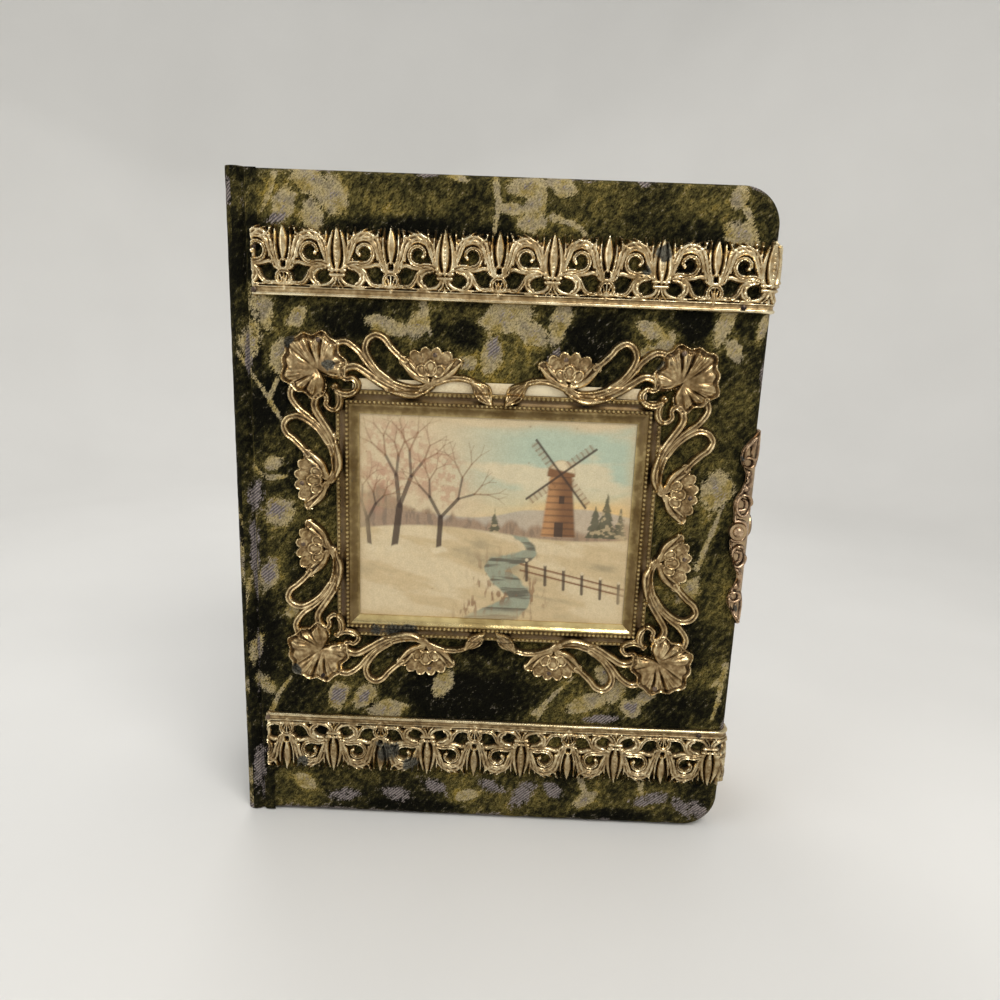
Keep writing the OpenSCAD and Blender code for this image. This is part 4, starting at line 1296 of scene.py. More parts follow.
@dataclass
class FrameMoulding(Dressing):
    """The picture's moulded frame with two rows of beads and a gilt slope down to the picture.

    Each point of the profile gives the depth from the outer edge, the height and how bright the metal is.
    """

    base: float = 0.6
    outer_bead: Point = (1.15, 1.95)
    inner_bead: Point = (4.75, 2.75)
    bead_r: float = 0.76
    bead_pitch: float = 1.85
    lengths: int = 60
    slope_at: float = 6.3
    # Painted reflection: extra brightness on the inner slope of the lower side, which faces up to the lamps.
    low_slope_painted_reflection: float = 0.34
    bead_shine: float = 0.64
    spots: Sequence[Spot] = ((-40, 90.5, 4), (-33, 90.5, 4), (-47, 90.5, 3), (36, 190, 3))
    profile: Sequence[tuple[float, float, float]] = (
        (0.0, 0.0, 0.2), (0.0, 1.3, 0.3), (0.25, 1.75, 0.55), (0.6, 1.9, 0.46), (1.7, 1.95, 0.4),
        (2.05, 1.75, 0.28), (2.6, 1.65, 0.28), (3.3, 1.85, 0.32), (3.9, 2.35, 0.4), (4.2, 2.6, 0.36),
        (5.3, 2.7, 0.36), (5.6, 2.95, 0.46), (6.0, 3.0, 0.5), (6.35, 2.9, 0.48), (6.8, 2.45, 0.46),
        (7.5, 1.95, 0.44), (8.4, 1.65, 0.48), (9.1, 1.55, 0.54), (9.5, 1.35, 0.6), (9.5, 0.85, 0.4),
        (7.5, 0.85, 0.2), (7.5, 0.0, 0.2),
    )

    def corners(self, low: Point, high: Point, inset: float) -> list[Point]:
        """Corners of the frame's rectangle at an inset."""
        (a, b), (c, d) = np.add(low, inset), np.subtract(high, inset)
        return [(a, b), (c, b), (c, d), (a, d)]

    def sweep(self, low: Point, high: Point) -> tuple[list, list, list]:
        """Carries the moulding round the rectangle, each side cut into short lengths.

        Args:
            low: Lowest u and v of the frame.
            high: Highest u and v.

        Returns:
            Points (u, v, h), faces and the ridge value per point.
        """
        points, faces, ridge = [], [], []
        n = len(self.profile)
        for side in range(4):
            first = len(points)
            for k in range(self.lengths + 1):
                f = k / self.lengths
                wave = 0.05 * math.sin(0.9 * k + 2.1 * side) if 0 < k < self.lengths else 0.0
                for depth, rise, bright in self.profile:
                    ring = self.corners(low, high, depth)
                    (a, b), (c, d) = ring[side], ring[(side + 1) % 4]
                    height = self.base + rise + wave * (rise > 1)
                    points.append((a + (c - a) * f, b + (d - b) * f, height))
                    # Painted reflection: the lower side's inner slope is made brighter than the other three
                    # sides.
                    ridge.append(bright + (self.low_slope_painted_reflection if side == 0 and depth > self.slope_at else 0))
            faces += [(a, d, c, b) for a, b, c, d in skin(self.lengths + 1, n, first=first)]
        return points, faces, ridge

    def beads(self, low: Point, high: Point, seat: Point) -> tuple[list, list]:
        """One row of round beads.

        Args:
            low: Lowest u and v of the frame.
            high: Highest u and v.
            seat: Depth from the outer edge and height of the row.

        Returns:
            Points (u, v, h) and faces.
        """
        points, faces = [], []
        ring = self.corners(low, high, seat[0])
        foot = self.base + seat[1] - 0.05
        turns = [polar(self.bead_r, 45 * s) for s in range(8)]
        for (a, b), (c, d) in zip(ring, ring[1:] + ring[:1]):
            count = round(math.hypot(c - a, d - b) / self.bead_pitch)
            for k in range(count):
                u, v = a + (c - a) * k / count, b + (d - b) * k / count
                first = len(points)
                for level, share in ((0.0, 1.0), (0.45, 0.9), (0.8, 0.6)):
                    points += [(u + share * x, v + share * y, foot + self.bead_r * level) for x, y in turns]
                points.append((u, v, foot + self.bead_r))
                faces += skin(3, 8, first=first)
                faces += [(first + 16 + s, first + 16 + (s + 1) % 8, first + 24) for s in range(8)]
                faces.append([first + s for s in reversed(range(8))])
        return points, faces

    def build(self) -> None:
        """Makes the frame in place of its solid."""
        low, high = self.album.across("picture_frame")
        points, faces, ridge = self.sweep(low, high)
        for seat in (self.outer_bead, self.inner_bead):
            more, extra = self.beads(low, high, seat)
            faces += [[i + len(points) for i in f] for f in extra]
            points += more
            ridge += [self.bead_shine] * len(more)
        places = np.array(points)
        piece = make_piece("picture_frame_moulding", self.album.on_front(places), faces, 30.0)
        wear = 0.14 * (cloudy(places[:, 0], places[:, 1], 12.0, 44) - 0.5)
        paint(piece, "ridge", np.array(ridge) + wear)
        paint(piece, "stain", stain(places, self.spots, 50))
        dress(piece, self.finishes.frame)
        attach(piece, "front_cover")
        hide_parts("picture_frame")


@dataclass
class Canvas:
    """A picture while it is painted: places from its lower left corner, its size and its colours."""

    u: Array
    v: Array
    width: float
    height: float
    colours: Array

    def flat(self, colour: Colour) -> Array:
        """One colour at every place."""
        return np.ones((*self.u.shape, 3)) * colour

    def lay(self, colour: Sequence[float], share: Array) -> None:
        """Lays a colour, or a colour per place, over the picture by a share per place."""
        self.colours = lerp(self.colours, colour, share)


@dataclass
class PictureCard(Dressing):
    """A hand-coloured winter view: bare trees, a frozen brook, a far windmill and a low fence."""

    step: float = 0.36
    cream: Colour = tone(206, 188, 154)
    aqua: Colour = tone(174, 189, 168)
    glow: Colour = tone(226, 186, 118)
    cloud: Colour = tone(216, 199, 164)
    hill: Colour = tone(174, 164, 150)
    copse: Colour = tone(148, 118, 90)
    snow: Colour = tone(200, 178, 138)
    shade: Colour = tone(160, 146, 114)
    ice: Colour = tone(150, 154, 132)
    wood: Colour = tone(126, 88, 56)
    sunlit: Colour = tone(182, 134, 88)
    dark: Colour = tone(66, 50, 38)
    twig: Colour = tone(178, 130, 104)
    needle: Colour = tone(86, 84, 62)
    brook: Sequence[Point] = ((0.56, 0.45), (0.64, 0.36), (0.50, 0.27), (0.60, 0.13), (0.46, -0.02))
    firs: Sequence[Point] = ((0.86, 15), (0.9, 19), (0.95, 13), (0.5, 11))
    trees: Sequence[tuple[float, float, int]] = ((0.14, 0.66, 3), (0.3, 0.5, 8), (0.05, 0.42, 5))
    mill_foot: Point = (0.73, 0.44)
    specks: int = 16

    def scenery(self, c: Canvas) -> None:
        """Paints the view from far to near.

        Args:
            c: The picture, cream all over.
        """
        u, v, w, h = c.u, c.v, c.width, c.height
        up, along = v / h, u / w
        mist = cloudy(u * 0.5, v * 2.0, 16, 8, 4)
        band = ease(0.26, 0.08, np.abs(up - 0.78 + 0.3 * (mist - 0.5)))
        c.lay(self.aqua, 0.95 * band * ease(0.25, 0.65, along))
        c.lay(self.glow, 0.95 * ease(0.72, 0.5, up) * ease(0.3, 0.8, along))
        c.lay(self.cloud, 0.8 * ease(0.54, 0.7, mist) * ease(0.55, 0.7, up))
        c.lay(self.hill, 0.8 * ease(0.5, -0.5, v - h * (0.5 + 0.11 * cloudy(u, 0 * u, 46, 11))))
        thicket = h * (0.42 + 0.16 * cloudy(u, 0 * u, 10, 13, 5) + 0.1 * ease(0.5, 0.1, along))
        copse = lerp(c.flat(self.copse), self.dark, 0.5 * ease(0.5, 0.7, cloudy(u * 2, v * 0.6, 3, 14)))
        c.lay(copse, 0.75 * ease(1.6, -1.2, v - thicket))
        for at, tall in self.firs:
            self.add_fir(c, at * w, 0.44 * h, tall)
        self.add_mill(c, (self.mill_foot[0] * w, self.mill_foot[1] * h), 0.4 * h)
        c.lay(self.ground(c), ease(0.6, -0.6, v - h * (0.445 + 0.025 * np.sin(6 * along))))
        for at, tall, seed in self.trees:
            self.add_tree(c, (at * w, 0.36 * h), tall * h, seed)
            mound = np.hypot((u - at * w) / 2.6, v - 0.352 * h + 0.4 * np.sin(u))
            c.lay(self.cloud, ease(1.9, 0.9, mound))
        self.add_fence(c)
        c.colours = c.colours * (1 + 0.16 * (cloudy(u, v, 1.8, 91, 3) - 0.5))[..., None]

    def ground(self, c: Canvas) -> Array:
        """Mixes the colours of the snow, the frozen brook and the dry tufts beside it.

        Args:
            c: The picture.

        Returns:
            One colour per place.
        """
        u, v = c.u, c.v
        drift = cloudy(u * 0.5, v * 1.8 + 0.3 * u, 13, 31, 4)
        colours = lerp(c.flat(self.snow), self.shade, 0.8 * ease(0.5, 0.72, drift))
        colours = lerp(colours, self.cloud, 0.7 * ease(0.5, 0.34, drift))
        gap, along = near_line(u, v, smooth_line([(a * c.width, b * c.height) for a, b in self.brook]))
        out = gap - 0.8 - 6.0 * along + 3 * (cloudy(u, v, 5, 37) - 0.5)
        ripples = ease(0.54, 0.7, cloudy(u * 0.3, v * 3, 5, 19))
        colours = lerp(colours, lerp(c.flat(self.ice), self.dark, 0.7 * ripples), ease(0.7, -0.4, out))
        tufts = ease(0.52, 0.66, cloudy(u * 2.2, v * 0.7, 3, 41, 3)) * ease(7, 1, np.abs(out - 2))
        return lerp(colours, self.wood, 0.75 * tufts * ease(0.48, 0.1, v / c.height))

    def add_fir(self, c: Canvas, at: float, foot: float, tall: float) -> None:
        """Paints one snowy fir.

        Args:
            c: The picture.
            at: Where it stands along the picture.
            foot: Height of its foot.
            tall: How tall it is.
        """
        u, v = c.u, c.v
        rise = (v - foot) / tall
        half = tall * 0.26 * np.clip(1 - rise, 0, 1) * (1 - 0.3 * ((rise * 5.0) % 1.0))
        ragged = 1.1 * (cloudy(u, v, 1.6, int(at) + 41) - 0.5)
        inside = ease(0.35, -0.35, np.abs(u - at) + ragged - half) * (rise > 0) * (rise < 1)
        snowy = 0.7 * ease(0.55, 0.7, cloudy(u, v * 1.6, 2.2, 53))
        c.lay(lerp(c.flat(self.needle), self.snow, snowy), 0.9 * inside)

    def add_mill(self, c: Canvas, foot: Point, tall: float) -> None:
        """Paints a boarded windmill with a snowy cap and four lattice sails.

        Args:
            c: The picture.
            foot: Where it stands.
            tall: How tall it is.
        """
        x, y = (c.u - foot[0]) / tall, (c.v - foot[1]) / tall
        tower = ease(0.02, -0.02, np.abs(x) - 0.2 + 0.1 * y) * (y > 0) * (y < 0.74)
        wall = lerp(c.flat(self.wood), self.sunlit, ease(0.06, -0.14, x))
        wall = lerp(wall, self.dark, 0.45 * ease(0.3, 0.9, np.sin(2 * math.pi * 13 * y)))
        door = (np.abs(x) < 0.05) * (y < 0.17)
        window = (np.abs(x - 0.02) < 0.03) * (np.abs(y - 0.44) < 0.05)
        c.lay(lerp(wall, self.dark, 0.9 * np.maximum(door, window)), tower)
        cap = ease(1.1, 0.9, np.hypot(x / 0.16, (y - 0.73) / 0.17)) * (y > 0.71)
        c.lay(self.wood, cap)
        c.lay(self.cloud, cap * ease(0.77, 0.8, y + 0.2 * x))
        for angle in (38, 128, 218, 308):
            cos, sin = polar(1.0, angle)
            along, aside = x * cos + (y - 0.74) * sin, (y - 0.74) * cos - x * sin
            lattice = (along > 0.1) * (along < 0.48) * (aside > 0) * (aside < 0.085)
            bars = np.maximum(ease(0.2, 0.8, np.sin(2 * math.pi * 16 * along)), 0.35)
            c.lay(self.wood, 0.6 * lattice * bars)
            c.lay(self.dark, 0.9 * ease(0.02, 0.006, np.abs(aside)) * (along > 0) * (along < 0.5))

    def add_tree(self, c: Canvas, foot: Point, tall: float, seed: int) -> None:
        """Paints one bare tree, branch by branch, in a haze of twigs.

        Args:
            c: The picture.
            foot: Where it stands.
            tall: How tall it is.
            seed: Which tree.
        """
        rng = np.random.default_rng(seed)
        crown = np.hypot((c.u - foot[0]) / 0.36, (c.v - foot[1] - 0.66 * tall) / 0.4) / tall
        haze = ease(1.0, 0.4, crown) * ease(0.42, 0.62, cloudy(c.u, c.v, 1.9, seed + 60, 3))
        c.lay(self.twig, 0.5 * haze)
        growing = [(foot, 90.0 + rng.uniform(-8, 8), 0.3 * tall, 0.022 * tall, 0)]
        while growing:
            start, angle, length, half, order = growing.pop()
            end = polar(length, angle, start)
            gap, _ = near_line(c.u, c.v, [start, end])
            bark = self.dark if order < 3 else self.wood
            c.lay(bark, (0.9 - 0.1 * order) * ease(half + 0.3, half - 0.1, gap))
            if order < 5:
                for side in (-1, 1):
                    bend = side * rng.uniform(12, 36) + rng.uniform(-7, 7)
                    reach = length * rng.uniform(0.62, 0.86)
                    growing.append((end, angle + bend, reach, 0.6 * half, order + 1))

    def add_fence(self, c: Canvas, slope: float = -0.22) -> None:
        """Paints a low snowy fence that runs down to the right.

        Args:
            c: The picture.
            slope: How steeply it runs.
        """
        u, v, w, h = c.u, c.v, c.width, c.height
        first, last = (0.6 * w, 0.3 * h), (0.98 * w, 0.3 * h + slope * 0.38 * w)
        for drop in (0.0, 2.7):
            gap, _ = near_line(u, v, [(first[0], first[1] - drop), (last[0], last[1] - drop)])
            c.lay(self.wood, 0.9 * ease(0.6, 0.25, gap))
        for k in range(6):
            at = first[0] + 2.5 + k * (last[0] - first[0]) / 5.6
            top = first[1] + slope * (at - first[0]) + 2.0
            gap, _ = near_line(u, v, [(at, top), (at + 0.3, top - 8.5)])
            c.lay(self.dark, 0.85 * ease(0.85, 0.4, gap))
            c.lay(self.cloud, 0.9 * ease(0.9, 0.5, np.hypot(u - at, v - top - 0.4)))

    def age(self, c: Canvas, inset: Array) -> None:
        """Yellows the picture towards its rim and specks it.

        Args:
            c: The painted picture.
            inset: Uneven distance from each place to the rim.
        """
        c.lay(self.snow, 0.5 * ease(9, 3, inset))
        for a, b, size in np.random.default_rng(71).random((self.specks, 3)):
            spot = np.hypot(c.u - a * c.width, c.v - b * c.height)
            c.lay(self.wood, 0.5 * ease(0.4 + 0.4 * size, 0.1, spot))

    def build(self) -> None:
        """Makes the card in place of its solid and dresses the cream card behind it."""
        (low_u, low_v), (high_u, high_v) = self.album.across("picture_card")
        low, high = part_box("picture_card")
        rise, base = (self.album.front_low.y - low.y) / MM, (self.album.front_low.y - high.y) / MM
        across = np.linspace(low_u, high_u, round((high_u - low_u) / self.step))
        up = np.linspace(low_v, high_v, round((high_v - low_v) / self.step))
        u, v = np.meshgrid(across, up)
        rim = border(*u.shape)
        foot = list(range(u.size, u.size + len(rim)))
        faces = skin(*u.shape, closed=False) + walls(rim, foot) + [foot[::-1]]
        bow = rise + 0.12 * (cloudy(u, v, 40.0, 61) - 0.5)
        top = np.column_stack([u.ravel(), v.ravel(), bow.ravel()])
        under = np.column_stack([top[rim, 0], top[rim, 1], np.full(len(rim), base)])
        piece = make_piece("picture_view", self.album.on_front(np.vstack([top, under])), faces)
        bare = np.ones((*u.shape, 3)) * self.cream
        canvas = Canvas(u - low_u, v - low_v, high_u - low_u, high_v - low_v, bare)
        self.scenery(canvas)
        inset = np.minimum.reduce([u - low_u, high_u - u, v - low_v, high_v - v])
        self.age(canvas, inset + 3 * cloudy(u, v, 6, 67))
        colours = canvas.colours.reshape(-1, 3)
        paint(piece, "tint", np.vstack([colours, colours[rim]]))
        dress(piece, self.finishes.print_card)
        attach(piece, "front_cover")
        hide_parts("picture_card")
        dress(NODES["picture_backing"], self.finishes.backing)


class Cloth(Enum):
    """What a patch of the velvet shows: a pale petal, bare twill, a golden glow or a dark pool."""

    PETAL = "petal"
    BARE = "bare"
    GLOW = "glow"
    POOL = "pool"


@dataclass(frozen=True)
class Patch:
    """A petal, leaf or pool of the velvet's figure: its middle, length, width and turn in degrees."""

    u: float
    v: float
    length: float
    width: float
    turn: float = 0.0

    def reach(self, u: Array, v: Array) -> Array:
        """Measures how far out places lie.

        Args:
            u: Places along the cover.
            v: Places up from the tail.

        Returns:
            0 in the patch's middle and 1 at its edge.
        """
        c, s = polar(1.0, self.turn)
        along = np.abs((u - self.u) * c + (v - self.v) * s) / self.length * 2
        aside = np.abs((v - self.v) * c - (u - self.u) * s) / self.width * 2
        return (along**1.5 + aside**1.8) ** (1 / 1.65)


@dataclass
class VelvetFigure:
    """The figure and wear of the velvet, painted on any part of the album."""

    petals: Sequence[tuple[float, ...]] = (
        (-74, 268.5, 14, 10, -20), (-64.6, 263, 15, 11, -65), (-83, 260, 13, 9, 70),
        (-72, 255.5, 12, 9, -70), (-17, 271, 8, 2.5, -15), (9.3, 269.4, 15, 7, 0),
        (22, 270, 13, 8, -20), (13, 263, 16, 7, 85), (4, 261.5, 12, 4, 0), (12.3, 257, 10, 8, 0),
        (88.7, 268, 10, 7, 70), (92, 255.5, 15, 9, -20), (3, 221.5, 20, 11, 15), (14, 215, 14, 8, -35),
        (24, 220, 20, 7, 75), (60, 219, 12, 6, -25), (66, 213, 12, 6, 60), (60, 210, 9, 5, 10),
        (88, 222, 18, 7, 78), (93, 212, 12, 6, -60), (103, 221, 12, 4, 78), (-93, 221, 19, 8, -68),
        (-79, 218, 10, 6, 45), (-97, 209, 18, 9, 75), (-86, 203, 15, 8, 85), (-42, 216.5, 17, 7, -15),
        (-31, 217, 12, 8, 70), (-2, 207, 14, 9, 80), (-12, 203, 10, 6, 20), (-87, 140, 14, 12, 30),
        (-93, 112, 14, 8, 70), (-90, 160, 9, 6, 20), (-84, 96, 9, 6, 60), (-64, 58, 13, 9, 75),
        (-52, 58.5, 13, 8, 50), (-43, 51.5, 16, 9, 10), (-18, 66, 16, 8, 65), (92, 156, 18, 13, 80),
        (84, 113, 13, 8, 60), (78, 128, 9, 7, 40), (46, 60, 18, 9, 20), (57, 66, 14, 8, 70),
        (64, 57, 11, 8, -35), (70, 63, 15, 6, 38), (52, 73, 12, 9, -30), (-6, 12, 12, 6, 20),
        (-80, 14, 11, 6, -30), (47, 12, 12, 6, 30), (-99, 78, 15, 6, 75), (-96, 62, 12, 7, -60),
    )
    bare: Sequence[tuple[float, ...]] = (
        (-86.5, 254.5, 9, 4, 20), (-97, 146, 15, 8, 80), (-88, 141, 9, 8, 30), (-93, 113, 11, 6, 70),
        (-64, 58, 9, 6, 75), (-52, 58.5, 8, 4, 50), (53, 52, 18, 4, 5), (64, 58, 6, 5, -35),
        (-61, 9, 15, 6, 0), (-38, 11, 13, 7, -12), (-21, 15, 15, 6, -30), (4, 17, 13, 6, -25),
        (18, 12, 18, 8, 60), (33, 16, 11, 6, -50), (76, 13, 19, 6, 15), (90, 10, 13, 7, -55),
        (98, 8, 13, 8, -45), (-100, 20, 20, 6, 85), (22, 205, 9, 6, 60), (-1, 210, 8, 5, 80),
    )
    glows: Sequence[tuple[float, ...]] = (
        (47, 265, 14, 8, 60), (76, 264, 40, 12, 0), (99, 100, 80, 18, 85), (-40, 262, 50, 12, 0),
        (96, 190, 50, 16, 80), (-92, 262, 20, 12, 40), (88, 70, 22, 14, 40), (-20, 24, 50, 12, 0),
        (-100, 226, 14, 10, 60), (62, 214, 24, 18, 0),
    )
    pools: Sequence[tuple[float, ...]] = (
        (-8, 60, 74, 24, 0), (-60, 218, 30, 16, 0), (40, 214, 26, 20, 0), (-30, 252, 70, 12, 0),
        (-90, 186, 24, 16, 80), (-12, 214, 16, 14, 0), (78, 222, 14, 18, 0), (-30, 5, 50, 8, 0),
        (60, 4, 40, 8, 0), (-80, 118, 22, 12, 80),
    )
    stems: Sequence[Sequence[Point]] = (
        ((-86.8, 270.5), (-88, 265), (-91.5, 257)), ((-2, 272), (-1.2, 262), (-2.5, 252)),
        ((20, 259), (28.6, 256.7), (33, 253)), ((-104, 206), (-98, 196), (-92, 187), (-86, 177)),
        ((-91, 186), (-87, 194)), ((-98, 158), (-92, 154), (-84, 155)),
        ((102.5, 79), (101, 67), (99.6, 54)), ((102, 74), (98, 69)), ((91, 265), (94, 261), (95, 257)),
        ((-30, 226), (-28, 220), (-26, 214)), ((22, 53), (30, 62), (37, 70)), ((26, 56), (24, 51)),
        ((86, 122), (92, 140), (95, 150)), ((-96, 44), (-90, 58), (-84, 66)),
        ((44, 22), (46, 14), (44, 8)), ((70, 20), (72, 12)), ((-104, 96), (-101, 108), (-97, 118)),
    )
    stem_w: float = 1.3
    height: float = 273.0

    def lay(
        self, piece: Piece, u: Array, v: Array, edge: Array, flip: bool, painted_shade: float = 0.0
    ) -> None:
        """Paints the depth, figure and wear of the velvet on a piece.

        Args:
            piece: The piece to paint.
            u: Place of each corner along the cover.
            v: Place of each corner up from the tail.
            edge: Distance from each corner to the nearest rubbed edge.
            flip: Whether the figure is turned round, as on the back.
            painted_shade: How much painted shade darkens the pile and dims its figure.
        """
        seed = 200 if flip else 100
        wander = 3.0 * (cloudy(u, v, 18, seed + 5, 2) - 0.5)
        a = wander + (-u if flip else u)
        b = wander + (self.height - v if flip else v)
        # Painted shade: the pile is laid darker where shade falls, on the spine and joints.
        depth = 0.46 - painted_shade + 0.75 * (cloudy(u, v, 40, seed + 1, 4) - 0.5)
        depth += 0.6 * (cloudy(u, v, 12, seed + 7, 3) - 0.5) - 0.08 * ease(250, 228, v) * ease(24, 44, v)
        broken = 0.7 * (cloudy(u, v, 6, seed + 19, 3) - 0.5)
        figure, wear, halo = np.zeros(u.shape), np.zeros(u.shape), np.zeros(u.shape)
        for cloth, group in zip(Cloth, (self.petals, self.bare, self.glows, self.pools)):
            for numbers in group:
                out = Patch(*numbers).reach(a, b)
                if cloth is Cloth.GLOW:
                    depth += 0.2 * ease(1.2, 0.3, out)
                elif cloth is Cloth.POOL:
                    depth -= 0.42 * ease(1.25, 0.5, out)
                elif cloth is Cloth.PETAL:
                    figure = np.maximum(figure, ease(1.4, 0.6, out + 0.7 * broken))
                    halo = np.maximum(halo, ease(1.9, 0.9, out))
                    wear = np.maximum(wear, 0.36 * ease(0.9, 0.2, out))
                else:
                    wear = np.maximum(wear, 0.84 * ease(1.6, 0.3, out + 1.3 * broken))
        for stem in self.stems:
            gap, along = near_line(a, b, smooth_line(stem, 4))
            half = self.stem_w * (1 - 0.45 * along)
            figure = np.maximum(figure, 0.85 * ease(1.7, 0.4, gap / half + broken))
            halo = np.maximum(halo, 0.7 * ease(3.2, 1.0, gap / half))
        rub = 0.8 * ease(4.2, 0.0, edge + 10 * (cloudy(u, 0.45 * v, 7.0, seed + 13, 4) - 0.42))
        paint(piece, "depth", np.clip(depth + 0.22 * halo, 0, 1))
        # Painted shade also dims the figure on the spine and joints.
        paint(piece, "figure", figure * (1 - 2 * painted_shade))
        paint(piece, "wear", np.maximum(wear, rub))


@dataclass
class CoverDressing(Dressing):
    """The padded velvet of one cover, wrapped round its edges and turned in."""

    name: str
    node: str
    body: str
    front: bool
    figure: VelvetFigure
    step: float = 0.83
    corner_r: float = 15.0
    edge_r: float = 4.0
    turn_in: float = 14.0
    under_lining: float = 0.9
    pile_above: float = -7.5

    def wrap(self, a: Array, b: Array) -> tuple[Array, Array, Array, Array]:
        """Lays flat cloth places over the cover's face and edges.

        Args:
            a: Places along the flat cloth.
            b: Places up the flat cloth.

        Returns:
            u, v and h of each place, and how far each lies beyond the flat face.
        """
        album, inner_r = self.album, self.corner_r - self.edge_r
        right = album.fore - self.corner_r
        low, high = self.corner_r, album.height - self.corner_r
        along = np.maximum(a, album.joint)
        cu, cv = np.minimum(along, right), np.clip(b, low, high)
        du, dv = along - cu, b - cv
        far = np.hypot(du, dv)
        beyond = np.clip(far - inner_r, 0, None)
        nu, nv = du / np.maximum(far, 1e-9), dv / np.maximum(far, 1e-9)
        quarter = self.edge_r * math.pi / 2
        angle = np.clip(beyond / self.edge_r, 0, math.pi / 2)
        out = np.where(beyond > 0, inner_r + self.edge_r * np.sin(angle), far)
        h = -self.edge_r * (1 - np.cos(angle)) - np.clip(beyond - quarter, 0, None)
        wall = np.clip((album.joint - a) / album.thickness, 0, 1)
        floor = -album.thickness
        h = h + (floor - h) * wall
        return cu + nu * out, cv + nv * out, h, beyond

    def cut_cloth(self) -> tuple[Array, list, list]:
        """Cuts the cloth to the cover and lays it over the padded face and the edges.

        Returns:
            Places (u, v, h) of its corners, its faces, and its edge as pairs of corners.
        """
        album = self.album
        reach = self.edge_r * math.pi / 2 + (album.thickness - self.edge_r)
        grow = reach - self.edge_r
        start = album.joint - album.thickness
        far = (album.fore + grow + 1, album.height + grow + 1)
        cloth = Relief((start - 1, -grow - 1), far, self.step, 0.0)
        *_, beyond = self.wrap(cloth.u, cloth.v)
        cloth.cover = np.minimum(reach - beyond, cloth.u - start) + 0.02
        flat, faces, rim, _ = cloth.cut()
        u, v, h, beyond = self.wrap(flat[:, 0], flat[:, 1])
        level = ease(1.5, 0.0, beyond) * ease(0.0, 4.0, u - album.joint)
        h = h + level * (0.30 * (cloudy(u, v, 30, 301, 3) - 0.85))
        h = h + 0.16 * (cloudy(u, v, 2.0, 303, 2) - 0.5) * (h > self.pile_above)
        return np.column_stack([u, v, h]), faces, rim

    def tuck(self, places: Array, faces: list, rim: list) -> tuple[Array, list]:
        """Turns the edge of the cloth in under the board, where the lining covers it.

        Args:
            places: Places (u, v, h) of the cloth's corners.
            faces: Its faces.
            rim: Its edge, as pairs of corners.

        Returns:
            Places and faces of the closed cloth.
        """
        album = self.album
        ring = dict(rim)
        order = [rim[0][0]]
        while ring[order[-1]] != order[0]:
            order.append(ring[order[-1]])
        edge_u, edge_v = places[order, 0], places[order, 1]
        middle_u, middle_v = (album.joint + album.fore) / 2, album.height / 2
        lip_u = middle_u + (edge_u - middle_u) * (1 - self.turn_in / (album.fore - middle_u))
        lip_v = middle_v + (edge_v - middle_v) * (1 - self.turn_in / middle_v)
        floor = np.full(len(order), -album.thickness)
        lip = np.column_stack([lip_u, lip_v, floor])
        places[order, 2] = -album.thickness + 0.3
        count, n = len(places), len(order)
        rings = [order] + [list(range(count + k * n, count + k * n + n)) for k in range(3)]
        for upper, lower in zip(rings, rings[1:]):
            faces = faces + walls(upper, lower)
        faces.append(rings[-1][::-1])
        rim_floor = np.column_stack([edge_u, edge_v, floor])
        return np.vstack([places, rim_floor, lip, lip + (0, 0, self.under_lining)]), faces

    def build(self) -> None:
        """Makes the velvet in place of its solid and dresses what lies under it."""
        album, finishes = self.album, self.finishes
        places, faces = self.tuck(*self.cut_cloth())
        lay = album.on_front if self.front else album.on_back
        if not self.front:
            faces = [f[::-1] for f in faces]
        piece = make_piece(self.name, lay(places), faces, 60.0)
        pu, pv = places[:, 0], places[:, 1]
        rest = np.minimum.reduce([album.fore - pu + 1.6, pv, album.height - pv + 2.2])
        roll = np.where(places[:, 2] < -0.4, np.abs(places[:, 2] + 2.0) * 0.8 + 1.6, 9.0)
        self.figure.lay(piece, pu, pv, np.minimum(rest, roll) + 0.6, not self.front)
        dress(piece, finishes.velvet)
        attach(piece, self.body)
        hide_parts(self.node)
        prefix = "front" if self.front else "back"
        stuffs = {"board": finishes.board, "padding": finishes.wadding, "lining": finishes.lining}
        for part, finish in stuffs.items():
            dress(NODES[f"{prefix}_{part}"], finish)


